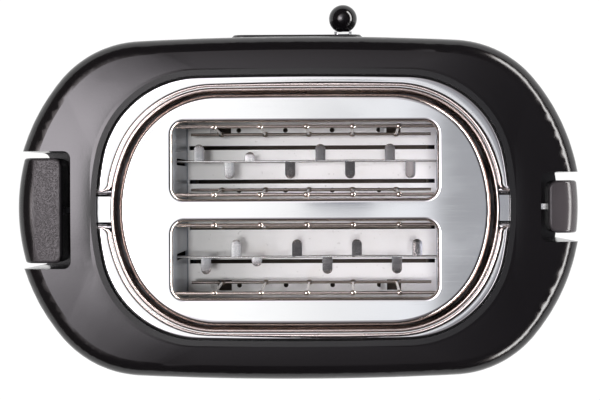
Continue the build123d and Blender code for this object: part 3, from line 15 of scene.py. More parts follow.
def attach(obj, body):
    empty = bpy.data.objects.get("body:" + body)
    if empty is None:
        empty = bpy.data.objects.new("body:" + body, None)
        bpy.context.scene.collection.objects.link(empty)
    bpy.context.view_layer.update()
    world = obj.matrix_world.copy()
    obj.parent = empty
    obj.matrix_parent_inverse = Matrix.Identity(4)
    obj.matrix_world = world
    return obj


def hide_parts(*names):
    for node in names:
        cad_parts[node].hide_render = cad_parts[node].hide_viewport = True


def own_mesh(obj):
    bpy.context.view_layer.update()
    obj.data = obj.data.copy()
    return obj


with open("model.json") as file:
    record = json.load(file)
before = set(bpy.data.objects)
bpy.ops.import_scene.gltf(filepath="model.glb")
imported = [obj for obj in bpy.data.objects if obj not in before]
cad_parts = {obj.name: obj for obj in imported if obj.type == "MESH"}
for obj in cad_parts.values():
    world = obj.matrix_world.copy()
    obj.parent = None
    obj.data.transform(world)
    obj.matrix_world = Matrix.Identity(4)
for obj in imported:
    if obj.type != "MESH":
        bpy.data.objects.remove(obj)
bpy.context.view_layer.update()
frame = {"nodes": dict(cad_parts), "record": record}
MM = 0.001
FRAME_SHIFT_Y = 10.225
WELD_DISTANCE = 1e-7
LENGTHWAYS = 0.9
MIX_FACTOR, MIX_FIRST, MIX_SECOND, MIX_RESULT = 0, 6, 7, 2
log = logging.getLogger("toaster")


class Signal:
    """A value or colour socket that takes part in Python expressions."""

    def __init__(self, recipe: "Recipe", socket: bpy.types.NodeSocket) -> None:
        """Wraps a socket.

        Args:
            recipe: the material's recipe.
            socket: an output socket in its tree.
        """
        self.recipe = recipe
        self.socket = socket

    def maths(self, operation: str, *others: object) -> "Signal":
        """A Math node on this value and the others."""
        return self.recipe.maths(operation, self, *others)

    def __add__(self, other: object) -> "Signal":
        """Sum."""
        return self.maths("ADD", other)

    def __sub__(self, other: object) -> "Signal":
        """Difference."""
        return self.maths("SUBTRACT", other)

    def __rsub__(self, other: object) -> "Signal":
        """Reflected difference, as in 1 - mask."""
        return self.recipe.maths("SUBTRACT", other, self)

    def __mul__(self, other: object) -> "Signal":
        """Product."""
        return self.maths("MULTIPLY", other)

    def __truediv__(self, other: object) -> "Signal":
        """Quotient."""
        return self.maths("DIVIDE", other)

    def __rtruediv__(self, other: object) -> "Signal":
        """Reflected quotient."""
        return self.recipe.maths("DIVIDE", other, self)

    def __abs__(self) -> "Signal":
        """The value without its sign."""
        return self.maths("ABSOLUTE")

    __radd__ = __add__
    __rmul__ = __mul__

    def ramp(self, low: float, high: float, start: float = 0.0, end: float = 1.0) -> "Signal":
        """Smooth step from start to end as the value goes from low to high.

        Args:
            low: value at which the result is start.
            high: value at which the result is end.
            start: result at low.
            end: result at high.

        Returns:
            The stepped value.
        """
        settings = {"interpolation_type": "SMOOTHSTEP"}
        stops = {"Value": self, "From Min": low, "From Max": high, "To Min": start, "To Max": end}
        return self.recipe.add("ShaderNodeMapRange", settings, stops)

    def window(self, rise: tuple, fall: tuple) -> "Signal":
        """One between two smooth steps, rise and fall, and nothing outside them."""
        return self.ramp(*rise) * self.ramp(*fall, 1.0, 0.0)


class Recipe:
    """One material's node tree, written as expressions."""

    def __init__(self, name: str, world: bpy.types.World | None = None) -> None:
        """Starts an empty tree.

        Args:
            name: the material's name.
            world: the world whose tree is written instead of a new material's.
        """
        self.material = world or bpy.data.materials.new(name)
        self.material.use_nodes = True
        self.tree = self.material.node_tree
        self.tree.nodes.clear()
        self.place = self.add("ShaderNodeTexCoord", output="Generated" if world else "Object")

    def add(
        self,
        kind: str,
        settings: dict | None = None,
        values: dict | None = None,
        output: str | int = 0,
    ) -> Signal:
        """Adds one node.

        Args:
            kind: the node's type name.
            settings: attributes set before anything is linked.
            values: socket name or index to a number, colour, vector or Signal.
            output: name or index of the output wanted.

        Returns:
            That output as a Signal.
        """
        node = self.tree.nodes.new(kind)
        for key, value in (settings or {}).items():
            setattr(node, key, value)
        for key, value in (values or {}).items():
            socket = node.inputs[key]
            if isinstance(value, Signal):
                self.tree.links.new(value.socket, socket)
            else:
                socket.default_value = value
        return Signal(self, node.outputs[output])

    def maths(self, operation: str, *values: object) -> Signal:
        """A Math node over numbers and Signals."""
        return self.add("ShaderNodeMath", {"operation": operation}, dict(enumerate(values)))

    def scaled(self, factors: tuple) -> Signal:
        """Object coordinates multiplied by one factor an axis."""
        return self.add("ShaderNodeVectorMath", {"operation": "MULTIPLY"}, {0: self.place, 1: factors})

    def axis(self, letter: str) -> Signal:
        """One object coordinate, in metres."""
        return self.add("ShaderNodeSeparateXYZ", None, {0: self.place}, letter)

    def noise(self, scale: float, detail: float = 2.0, rough: float = 0.5, at: Signal | None = None) -> Signal:
        """Noise from 0 to 1 on object coordinates, with scale in cells a metre."""
        values = {"Vector": at or self.place, "Scale": scale, "Detail": detail, "Roughness": rough}
        return self.add("ShaderNodeTexNoise", None, values)

    def cells(self, scale: float) -> Signal:
        """Distance to cell points on object coordinates, with scale in cells a metre."""
        return self.add("ShaderNodeTexVoronoi", None, {"Vector": self.place, "Scale": scale})

    def blend(self, factor: object, first: object, second: object) -> Signal:
        """Mixes two colours.

        Args:
            factor: 0 gives the first colour and 1 the second.
            first: a colour or Signal.
            second: a colour or Signal.

        Returns:
            The mixed colour.
        """
        values = {MIX_FACTOR: factor, MIX_FIRST: first, MIX_SECOND: second}
        return self.add("ShaderNodeMix", {"data_type": "RGBA"}, values, MIX_RESULT)

    def bump(
        self, height: Signal, distance: float, strength: float = 1.0, under: Signal | None = None
    ) -> Signal:
        """Raises the surface's normal by a height.

        Args:
            height: the height, usually from 0 to 1.
            distance: metres at height 1.
            strength: share of the effect.
            under: the normal that this one starts from.

        Returns:
            The new normal.
        """
        values = {"Height": height, "Distance": distance, "Strength": strength}
        if under is not None:
            values["Normal"] = under
        return self.add("ShaderNodeBump", None, values)

    def surface(self, **sockets: object) -> bpy.types.Material:
        """Ends the recipe with a Principled shader.

        Args:
            sockets: the shader's socket names, with _ for a space, and their values.

        Returns:
            The finished material.
        """
        values = {key.replace("_", " "): value for key, value in sockets.items()}
        shader = self.add("ShaderNodeBsdfPrincipled", None, values)
        self.output(shader)
        return self.material

    def output(self, shader: Signal) -> None:
        """Links a shader to the material's output."""
        node = self.tree.nodes.new("ShaderNodeOutputMaterial")
        self.tree.links.new(shader.socket, node.inputs["Surface"])


def rgb(red: float, green: float, blue: float) -> tuple:
    """Opaque colour."""
    return (red, green, blue, 1.0)


def dimmed(colour: tuple, share: float) -> tuple:
    """A colour multiplied by a share, still opaque."""
    return tuple(share * level for level in colour[:3]) + (1.0,)


WHITE = rgb(1.0, 1.0, 1.0)
BROAD_RANGE = (0.3, 0.7)
CLOUD_RANGE = (0.35, 0.75)
PATCH_RANGE = (0.3, 0.8)
GRAIN_RANGE = (0.2, 0.9)
PEBBLE_RANGE = (0.1, 0.7)
PEBBLE_SHARE = 0.7
FINE_SCALE = 2.2
FINE_SHARE = 0.5
SMEAR_SHARE = 0.3
SMEAR_DIM = 0.94
LINE_ROUGHNESS = 0.02
WAVE_SCALE = 14.0
ROLLING_STRETCH = (0.15, 4.0, 4.0)
ROLLING_DEPTH = 0.00002


def pebbles(recipe: Recipe, scale: float) -> Signal:
    """Height of a leather like grain: rounded cells with finer noise between them.

    Args:
        recipe: the material's recipe.
        scale: cells a metre.

    Returns:
        The height, from 0 to about 1.2.
    """
    fine = recipe.noise(scale * FINE_SCALE, 2.0)
    return recipe.cells(scale).ramp(*PEBBLE_RANGE) * PEBBLE_SHARE + fine * FINE_SHARE


@dataclass(frozen=True)
class GlossPlastic:
    """Polished dark moulding: faint orange peel, dust haze and fine wipe marks."""

    name: str
    colour: tuple = rgb(0.0028, 0.0025, 0.003)
    roughness: float = 0.16
    haze: float = 0.05
    peel: float = 0.00001
    crown: float = 0.0
    crown_width: float = 0.015
    crown_start: float = 0.003
    crown_middle: tuple = (-0.0032, 0.010025)
    crown_straight: tuple = (0.0564, 0.0175)
    crown_radius: float = 0.053
    cloud_scale: float = 11.0
    wipe_scale: float = 40.0
    wipe_stretch: tuple = (1.0, 7.0, 3.0)
    wipe_range: tuple = (0.6, 0.85)
    wipe_share: float = 0.25
    haze_tint: float = 0.4
    haze_gain: float = 1.5
    peel_scale: float = 900.0
    index: float = 1.5

    def material(self) -> bpy.types.Material:
        """Builds the finish.

        Returns:
            The finished material.
        """
        recipe = Recipe(self.name)
        clouds = recipe.noise(self.cloud_scale, 3.0).ramp(*CLOUD_RANGE)
        wipes = recipe.noise(self.wipe_scale, 4.0, at=recipe.scaled(self.wipe_stretch))
        haze = clouds * (1.0 - self.wipe_share) + wipes.ramp(*self.wipe_range) * self.wipe_share
        tone = recipe.blend(haze * self.haze_tint, self.colour, dimmed(self.colour, self.haze_gain))
        normal = recipe.bump(recipe.noise(self.peel_scale, 1.0), self.peel)
        if self.crown:
            normal = recipe.bump(self.crown_height(recipe), 1.0, 1.0, normal)
        rough = haze * self.haze + self.roughness
        return recipe.surface(Base_Color=tone, Roughness=rough, Normal=normal, IOR=self.index)

    def crown_height(self, recipe: Recipe) -> Signal:
        """Height that rounds the top face next to the lip, crown · (t - t²/2) of the eased distance t.

        The distance is the one to a rounded oblong: sqrt(max(|x| - a, 0)² + max(|y| - b, 0)²) - r.

        Args:
            recipe: the material's recipe.

        Returns:
            The height in metres.
        """
        along, across = (
            (abs(recipe.axis(letter) - middle) - straight).maths("MAXIMUM", 0.0)
            for letter, middle, straight in zip("XY", self.crown_middle, self.crown_straight)
        )
        gap = (along * along + across * across).maths("SQRT") - self.crown_radius
        share = (gap - self.crown_start) / self.crown_width
        share = share.maths("MAXIMUM", 0.0).maths("MINIMUM", 1.0)
        return (share - share * share * 0.5) * (self.crown * self.crown_width)


@dataclass(frozen=True)
class GrainedPlastic:
    """Matt moulding with leather like grain, smoother on the grain's tops."""

    name: str
    colour: tuple = rgb(0.055, 0.05, 0.052)
    roughness: float = 0.55
    grain: float = 1300.0
    depth: float = 0.00012
    valley_dim: float = 0.8
    valley_dull: float = 0.1
    top_shine: float = 0.06
    index: float = 1.48

    def material(self) -> bpy.types.Material:
        """Builds the finish.

        Returns:
            The finished material.
        """
        recipe = Recipe(self.name)
        grain = pebbles(recipe, self.grain)
        tone = recipe.blend(grain.ramp(*GRAIN_RANGE), dimmed(self.colour, self.valley_dim), self.colour)
        dull, shiny = self.roughness + self.valley_dull, self.roughness - self.top_shine
        rough = grain.ramp(*GRAIN_RANGE, dull, shiny)
        normal = recipe.bump(grain, self.depth)
        return recipe.surface(Base_Color=tone, Roughness=rough, Normal=normal, IOR=self.index)


@dataclass(frozen=True)
class LeverPlastic:
    """Wide lever's moulding: grained thumb pad on top, glossy outside and along the pad's rolled edge."""

    name: str
    pad_colour: tuple = rgb(0.034, 0.0305, 0.032)
    gloss_colour: tuple = rgb(0.004, 0.0036, 0.0042)
    pad_rise: tuple = (0.1266, 0.1276)
    pad_fall: tuple = (0.1403, 0.1427)
    pad_height: tuple = (0.1747, 0.1755)
    grain: float = 1250.0
    depth: float = 0.00013
    valley_dim: float = 0.75
    pad_roughness: tuple = (0.5, 0.38)
    gloss_roughness: float = 0.16
    haze_scale: float = 18.0
    haze: float = 0.06
    index: float = 1.5

    def material(self) -> bpy.types.Material:
        """Builds the finish: the pad's mask is a window in x above a height.

        Returns:
            The finished material.
        """
        recipe = Recipe(self.name)
        pad = recipe.axis("X").window(self.pad_rise, self.pad_fall)
        pad = pad * recipe.axis("Z").ramp(*self.pad_height)
        grain = pebbles(recipe, self.grain)
        valley = dimmed(self.pad_colour, self.valley_dim)
        tone = recipe.blend(grain.ramp(*GRAIN_RANGE), valley, self.pad_colour)
        tone = recipe.blend(pad, self.gloss_colour, tone)
        haze = recipe.noise(self.haze_scale, 3.0).ramp(*CLOUD_RANGE) * self.haze
        extra = grain.ramp(*GRAIN_RANGE, *self.pad_roughness) - self.gloss_roughness
        rough = pad * extra + haze + self.gloss_roughness
        normal = recipe.bump(grain * pad, self.depth)
        return recipe.surface(Base_Color=tone, Roughness=rough, Normal=normal, IOR=self.index)


@dataclass(frozen=True)
class PolishedMetal:
    """Bright polished metal: soft waviness, smears, hairlines and, if it has one, a duller and warmer edge."""

    name: str
    colour: tuple = rgb(0.86, 0.86, 0.87)
    roughness: float = 0.06
    wave: float = 0.00008
    edge: tuple | None = None
    edge_colour: tuple = rgb(0.84, 0.76, 0.72)
    edge_roughness: float = 0.24
    smear: float = 0.05

    def material(self) -> bpy.types.Material:
        """Builds the finish: the edge's mask goes from 0 to 1 between its two heights.

        Returns:
            The finished material.
        """
        recipe = Recipe(self.name)
        smears = recipe.noise(22.0, 3.0, at=recipe.scaled((1.0, 2.5, 1.0))).ramp(0.4, 0.8)
        lines = recipe.noise(160.0, 3.0, at=recipe.scaled((0.2, 8.0, 1.0))).ramp(0.55, 0.75)
        tone = recipe.blend(smears * SMEAR_SHARE, self.colour, dimmed(self.colour, SMEAR_DIM))
        rough = smears * self.smear + lines * LINE_ROUGHNESS + self.roughness
        if self.edge:
            edge = recipe.axis("Z").ramp(*self.edge)
            tone = recipe.blend(edge, tone, self.edge_colour)
            rough = rough + edge * (self.edge_roughness - self.roughness)
        normal = recipe.bump(recipe.noise(WAVE_SCALE, 1.0), self.wave)
        return recipe.surface(Base_Color=tone, Metallic=1.0, Roughness=rough, Normal=normal)


@dataclass(frozen=True)
class TinnedSheet:
    """Heat stained tinned sheet: half bright, half chalky, with painted shade that makes the end walls greyer
    and bluer.
    """

    name: str
    colour: tuple = rgb(0.93, 0.925, 0.92)
    stain: tuple = rgb(0.8, 0.77, 0.72)
    # painted shade: the end walls' colour, greyer and bluer than the sheet
    wall: tuple = rgb(0.36, 0.4, 0.46)
    middle_x: float = -0.006
    wall_range: tuple = (0.0722, 0.0726)
    metallic: float = 0.5
    roughness: float = 0.3
    stain_range: tuple = (0.5, 0.85)
    stain_share: float = 0.5
    speck_scale: float = 420.0
    speck_range: tuple = (0.68, 0.76)
    speck_share: float = 0.25
    speck_dim: float = 0.4

    def material(self) -> bpy.types.Material:
        """Builds the finish: stains by noise, and painted shade on the end walls by their distance from the
        middle.

        Returns:
            The finished material.
        """
        recipe = Recipe(self.name)
        grain = recipe.noise(260.0, 3.0, at=recipe.scaled(ROLLING_STRETCH))
        patches = recipe.noise(30.0, 4.0, 0.6)
        specks = recipe.noise(self.speck_scale, 2.0).ramp(*self.speck_range)
        # mask of the end walls' painted shade, by distance in X from the middle
        outward = abs(recipe.axis("X") - self.middle_x).ramp(*self.wall_range)
        stained = patches.ramp(*self.stain_range) * self.stain_share
        tone = recipe.blend(stained, self.colour, self.stain)
        tone = recipe.blend(specks * self.speck_share, tone, dimmed(self.stain, self.speck_dim))
        tone = recipe.blend(outward, tone, self.wall)
        rough = patches.ramp(*PATCH_RANGE) * 0.1 + grain.ramp(*BROAD_RANGE) * 0.05 + self.roughness
        normal = recipe.bump(grain, ROLLING_DEPTH)
        return recipe.surface(Base_Color=tone, Metallic=self.metallic, Roughness=rough, Normal=normal)


@dataclass(frozen=True)
class RingChrome:
    """Bright ring whose narrow inner rim and deep trough are painted near black as painted shade, and rougher
    there.
    """

    name: str
    colour: tuple = rgb(0.86, 0.86, 0.87)
    painted_shade: tuple = rgb(0.004, 0.0035, 0.0035)
    trough_range: tuple = (0.1856, 0.18595)
    rim_range: tuple = (0.1892, 0.18955)
    dark_roughness: float = 0.4
    roughness: float = 0.07

    def material(self) -> bpy.types.Material:
        """Builds the finish: painted shade below the trough's floor height and above the end lands' height.

        Returns:
            The finished material.
        """
        recipe = Recipe(self.name)
        height = recipe.axis("Z")
        # painted shade: near black in the trough below its floor height and on the rim above its height
        deep = height.ramp(*self.trough_range, 1.0, 0.0)
        dark = deep.maths("MAXIMUM", height.ramp(*self.rim_range))
        cloud = recipe.noise(60.0, 3.0).ramp(*BROAD_RANGE)
        tone = recipe.blend(dark * (cloud * 0.06 + 0.94), self.colour, self.painted_shade)
        rough = dark * self.dark_roughness + cloud * 0.04 + self.roughness
        normal = recipe.bump(cloud, 0.00004)
        return recipe.surface(Base_Color=tone, Metallic=1.0, Roughness=rough, Normal=normal)


@dataclass(frozen=True)
class SheetMetal:
    """Plain rolled sheet with a fine grain, spangle, dull patches and heat tint."""

    name: str
    colour: tuple = rgb(0.62, 0.62, 0.63)
    roughness: float = 0.28
    tint: tuple = rgb(0.5, 0.42, 0.33)
    tint_share: float = 0.25
    tint_range: tuple = (0.45, 0.8)
    spangle_scale: float = 140.0
    spangle_range: tuple = (0.0, 0.8)
    spangle_share: float = 0.3
    spangle_dim: float = 0.85

    def material(self) -> bpy.types.Material:
        """Builds the finish.

        Returns:
            The finished material.
        """
        recipe = Recipe(self.name)
        grain = recipe.noise(300.0, 3.0, at=recipe.scaled(ROLLING_STRETCH))
        patches = recipe.noise(28.0, 4.0, 0.6)
        spangle = recipe.cells(self.spangle_scale).ramp(*self.spangle_range) * self.spangle_share
        base = recipe.blend(spangle, self.colour, dimmed(self.colour, self.spangle_dim))
        tone = recipe.blend(patches.ramp(*self.tint_range) * self.tint_share, base, self.tint)
        rough = patches.ramp(*PATCH_RANGE) * 0.12 + grain.ramp(*BROAD_RANGE) * 0.06 + self.roughness
        normal = recipe.bump(grain, ROLLING_DEPTH)
        return recipe.surface(Base_Color=tone, Metallic=1.0, Roughness=rough, Normal=normal)


@dataclass(frozen=True)
class DullSolid:
    """Dull non metal part: mottled tone, fine pitting and worn roughness."""

    name: str
    colour: tuple
    second: tuple
    roughness: float = 0.6
    scale: float = 120.0
    pits: float = 0.00005
    mottle_range: tuple = (0.35, 0.7)
    pit_density: float = 14.0
    pit_roughness: float = 0.1

    def material(self) -> bpy.types.Material:
        """Builds the finish.

        Returns:
            The finished material.
        """
        recipe = Recipe(self.name)
        mottle = recipe.noise(self.scale, 4.0, 0.6).ramp(*self.mottle_range)
        fine = recipe.noise(self.scale * self.pit_density, 2.0)
        tone = recipe.blend(mottle, self.colour, self.second)
        rough = fine.ramp(*BROAD_RANGE) * self.pit_roughness + self.roughness
        return recipe.surface(Base_Color=tone, Roughness=rough, Normal=recipe.bump(fine, self.pits))


FINISHES = {
    "shell_plastic": GlossPlastic("shell_gloss", crown=0.14),
    "base_plastic": GrainedPlastic("base_matt", rgb(0.016, 0.016, 0.017), 0.48, 2400.0, 0.00004),
    "foot_rubber": DullSolid("foot_rubber", rgb(0.02, 0.02, 0.02), rgb(0.035, 0.034, 0.034), 0.75),
    "screw_steel": SheetMetal("screw_steel"),
    "ring_chrome": RingChrome("ring_chrome"),
    "panel_steel": PolishedMetal("panel_mirror", rgb(0.9, 0.905, 0.915), 0.04, 0.00006, (0.19185, 0.1915)),
    "hoop_chrome": PolishedMetal("hoop_chrome", rgb(0.88, 0.88, 0.89), 0.06, 0.00006, (0.1895, 0.1898)),
    "chamber_steel": TinnedSheet("chamber_sheet"),
    "guard_wire": PolishedMetal("guard_wire", rgb(0.74, 0.67, 0.62), 0.14),
    "heater_mica": DullSolid("heater_mica", rgb(0.42, 0.37, 0.3), rgb(0.55, 0.51, 0.44), 0.5, 200.0),
    "heater_ribbon": SheetMetal("heater_ribbon", rgb(0.3, 0.28, 0.27), 0.45),
    "carriage_steel": SheetMetal("carriage_sheet", rgb(0.72, 0.72, 0.72), 0.1, rgb(0.6, 0.55, 0.5), 0.15),
    # painted reflection: the lift lever's colour, lighter than the shell's, stands in for the bright overhead
    # seen on its glossy face
    "lift_lever_plastic": GlossPlastic("lift_lever_gloss", rgb(0.03, 0.027, 0.029), 0.2),
    "rack_lever_plastic": LeverPlastic("rack_lever_grain"),
    "frame_steel": SheetMetal("frame_sheet"),
    "spring_steel": SheetMetal("spring_wire", rgb(0.5, 0.5, 0.5), 0.25),
    "blackened_steel": SheetMetal("black_sheet", rgb(0.03, 0.03, 0.032), 0.4),
    "magnet_iron": SheetMetal("magnet_iron", rgb(0.35, 0.35, 0.36), 0.4),
    "coil_copper": SheetMetal("coil_copper", rgb(0.6, 0.27, 0.12), 0.3),
    "circuit_board": DullSolid("circuit_board", rgb(0.02, 0.1, 0.04), rgb(0.03, 0.14, 0.06), 0.4),
    "part_plastic": DullSolid("part_plastic", rgb(0.03, 0.03, 0.032), rgb(0.045, 0.045, 0.047), 0.45),
    "plate_plastic": GlossPlastic("plate_gloss", roughness=0.14),
    "trim_chrome": PolishedMetal("trim_chrome"),
    "lining_chrome": PolishedMetal("lining_chrome", rgb(0.7, 0.62, 0.58), 0.2),
    "fork_metal": PolishedMetal("fork_metal", rgb(0.3, 0.3, 0.31), 0.12),
    "ball_plastic": GlossPlastic("ball_gloss", roughness=0.06, haze=0.02),
    "button_plastic": GlossPlastic("button_gloss", rgb(0.02, 0.02, 0.021), 0.2),
    # crumb tray: dark brown, partly baked-on soil and partly painted shade under the chamber
    "tray_steel": SheetMetal("tray_sheet", rgb(0.12, 0.1, 0.085), 0.4, rgb(0.05, 0.035, 0.02), 0.6),
    "door_plastic": GrainedPlastic("door_matt", rgb(0.016, 0.016, 0.017), 0.48, 2400.0, 0.00004),
    "gland_rubber": DullSolid("gland_rubber", rgb(0.014, 0.014, 0.014), rgb(0.025, 0.025, 0.025), 0.65),
}


# painted shade: the rack slide takes the black sheet finish so it stays dark in the lever's channel
SHADE_PAINTED_NODES = {"rack_slide": "blackened_steel"}


@dataclass
class Wardrobe:
    """The finishes by the record's material slots, each made once."""

    made: dict = field(default_factory=dict)

    def get(self, slot: str) -> bpy.types.Material:
        """Finds the material of a slot, and makes it the first time.

        Args:
            slot: a key of FINISHES.

        Returns:
            The slot's material.
        """
        if slot not in self.made:
            self.made[slot] = FINISHES[slot].material()
        return self.made[slot]

    def dress_nodes(self) -> None:
        """Gives every node of the frame the finish of its slot, or for a few nodes a black finish as painted
        shade.
        """
        for part in frame["record"]["subparts"]:
            node = frame["nodes"][part["node"]]
            node.data.materials.clear()
            finish = self.get(SHADE_PAINTED_NODES.get(part["node"], part["material_slot"]))
            node.data.materials.append(finish)
            log.info("%s: %s", part["node"], finish.name)


class Side(Enum):
    """Which way a piece lies from the toaster's middle line."""

    FRONT = -1
    BACK = 1


def in_frame(points: np.ndarray) -> np.ndarray:
    """Millimetres about the shell's middle to metres in the frame, whose origin lies a little in front."""
    return (points + np.array([0.0, FRAME_SHIFT_Y, 0.0])) * MM


def signed_volume(points: np.ndarray, faces: np.ndarray) -> float:
    """Six times the volume inside quads, each split in two triangles.

    Args:
        points: the corners, points by 3.
        faces: the quads, four indices each.

    Returns:
        The volume, negative when the quads face inwards.
    """
    a, b, c, d = (points[faces[:, corner]] for corner in range(4))
    first = np.einsum("ij,ij->i", a, np.cross(b, c)).sum()
    return float(first + np.einsum("ij,ij->i", a, np.cross(c, d)).sum())


@dataclass
class Surface:
    """Closed surfaces given as grids of points, gathered into one mesh."""

    points: list = field(default_factory=list)
    quads: list = field(default_factory=list)
    count: int = 0

    def add(self, grid: np.ndarray, looped: bool = False) -> None:
        """Adds a tube of rings.

        A face joins point (i, j) to (i+1, j), (i+1, j+1) and (i, j+1), with j taken round the ring. Where the
        tube isn't looped its first and last rings close on their own middle points.

        Args:
            grid: rings by points by 3, in millimetres.
            looped: whether the last ring joins the first.
        """
        if not looped:
            first, last = (np.broadcast_to(grid[end].mean(axis=0), grid[:1].shape) for end in (0, -1))
            grid = np.concatenate([first, grid, last])
        rings, around, _ = grid.shape
        low = np.arange(rings if looped else rings - 1)[:, None]
        along = np.arange(around)[None, :]
        high, further = (low + 1) % rings, (along + 1) % around
        quads = np.stack([low * around + along, high * around + along,
                          high * around + further, low * around + further], axis=-1).reshape(-1, 4)
        flat = grid.reshape(-1, 3)
        if signed_volume(flat - flat.mean(axis=0), quads) < 0:
            quads = quads[:, ::-1]
        self.points.append(flat)
        self.quads.append(quads + self.count)
        self.count += len(flat)

    def finish(self, name: str, material: bpy.types.Material, sharp: float = 40.0) -> bpy.types.Object:
        """Makes the mesh object, welds its poles and shades it smooth up to an angle.

        Args:
            name: the piece's name.
            material: its finish.
            sharp: edge angle in degrees above which shading breaks.

        Returns:
            The object, at the origin.
        """
        points = in_frame(np.concatenate(self.points))
        quads = np.concatenate(self.quads)
        mesh = bpy.data.meshes.new(name)
        mesh.from_pydata(points, [], quads.tolist())
        builder = bmesh.new()
        builder.from_mesh(mesh)
        bmesh.ops.remove_doubles(builder, verts=builder.verts, dist=WELD_DISTANCE)
        builder.to_mesh(mesh)
        builder.free()
        mesh.shade_smooth()
        mesh.set_sharp_from_angle(angle=math.radians(sharp))
        mesh.materials.append(material)
        piece = bpy.data.objects.new(name, mesh)
        bpy.context.scene.collection.objects.link(piece)
        log.info("%s: %d points, %d faces", name, len(mesh.vertices), len(mesh.polygons))
        return piece


def tube(path: np.ndarray, radius: float, around: int = 14) -> np.ndarray:
    """Round wire along a path.

    Each ring is centre + radius (cos a · side + sin a · up), where side is the path's direction crossed with
    a steady reference and up completes the frame.

    Args:
        path: points by 3.
        radius: the wire's radius.
        around: points on a ring.

    Returns:
        Rings for Surface.add.
    """
    ahead = np.gradient(path, axis=0)
    ahead /= np.linalg.norm(ahead, axis=1, keepdims=True)
    upright = np.abs(ahead[:, 2]).max() >= LENGTHWAYS
    steady = np.array([0.0, 1.0, 0.0]) if upright else np.array([0.0, 0.0, 1.0])
    side = np.cross(ahead, steady)
    side /= np.linalg.norm(side, axis=1, keepdims=True)
    up = np.cross(side, ahead)
    angle = np.linspace(0, 2 * np.pi, around, endpoint=False)
    ring = np.cos(angle)[None, :, None] * side[:, None] + np.sin(angle)[None, :, None] * up[:, None]
    return path[:, None] + radius * ring


def oblong(count: int, power: float) -> tuple:
    """Unit rounded oblong |u|^n + |v|^n = 1: cos a and sin a, times (|cos a|^n + |sin a|^n)^(-1/n).

    Args:
        count: points around it.
        power: n, larger for sharper corners.

    Returns:
        u and v.
    """
    angle = np.linspace(0, 2 * np.pi, count, endpoint=False)
    cos, sin = np.cos(angle), np.sin(angle)
    scale = (np.abs(cos) ** power + np.abs(sin) ** power) ** (-1 / power)
    return scale * cos, scale * sin


def walk(line: np.ndarray) -> np.ndarray:
    """Distance walked along a line of points, from 0 at its first one."""
    return np.concatenate([[0.0], np.cumsum(np.linalg.norm(np.diff(line, axis=0), axis=1))])


def smooth(share: np.ndarray) -> np.ndarray:
    """Eased share, s² (3 - 2 s)."""
    return share**2 * (3 - 2 * share)


@dataclass(frozen=True)
class Oval:
    """Outline of eight tangent arcs, two ends, two long sides and four corners, by its normal's angle."""

    half_x: float
    half_y: float
    corner_radius: float
    end_bulge: float
    side_bulge: float
    centre: tuple

    def arcs(self) -> tuple:
        """Works out where the arcs meet.

        Returns:
            The corner's centre, the end's and side's radii and the angles where the end's and side's arcs meet
            the corner's.
        """
        radius = self.corner_radius
        corner_x = self.half_x - radius - self.end_bulge
        corner_y = self.half_y - radius - self.side_bulge
        end = ((radius + self.end_bulge) ** 2 + corner_y**2 - radius**2) / (2 * self.end_bulge)
        side = ((radius + self.side_bulge) ** 2 + corner_x**2 - radius**2) / (2 * self.side_bulge)
        end_angle = math.atan2(corner_y, corner_x - self.half_x + end)
        side_angle = math.atan2(corner_y - self.half_y + side, corner_x)
        return corner_x, corner_y, end, side, end_angle, side_angle

    def points(self, angles: np.ndarray, margin: float = 0.0) -> np.ndarray:
        """Points of the outline grown by a margin: arc centre + (radius + margin) · normal.

        Args:
            angles: angles of the outward normal from +X.
            margin: distance outwards.

        Returns:
            Points by 2.
        """
        corner_x, corner_y, end, side, end_angle, side_angle = self.arcs()
        across, up = np.abs(np.cos(angles)), np.abs(np.sin(angles))
        lean = np.arctan2(up, across)
        at_end, at_side = lean < end_angle, lean > side_angle
        x = np.select([at_end, at_side], [self.half_x - end, 0.0], corner_x)
        y = np.select([at_end, at_side], [0.0, self.half_y - side], corner_y)
        radius = np.select([at_end, at_side], [end, side], self.corner_radius) + margin
        x = self.centre[0] + np.sign(np.cos(angles)) * (x + radius * across)
        y = self.centre[1] + np.sign(np.sin(angles)) * (y + radius * up)
        return np.stack([x, y], axis=-1)

    def half(self, side: Side, low: float, margin: float, count: int) -> np.ndarray:
        """Points at even steps along one half, from its +X end to its -X end, beyond a distance from Y = 0.

        Args:
            side: which half.
            low: height of Y at which the half starts and ends.
            margin: distance outwards.
            count: how many points.

        Returns:
            Points by 2.
        """
        angles = np.linspace(0.0, np.pi, 4001) * side.value
        line = self.points(angles, margin)
        line = line[line[:, 1] * side.value >= low * side.value]
        walked = walk(line)
        steps = np.linspace(0.0, walked[-1], count)
        return np.stack([np.interp(steps, walked, line[:, axis]) for axis in (0, 1)], axis=-1)


GROOVE = Oval(101.9, 63.6, 52.5, 2.4, 0.2, (-4.2, 1.1))
RING = Oval(109.4, 70.5, 53.0, 1.75, 0.6, (-3.2, -0.2))


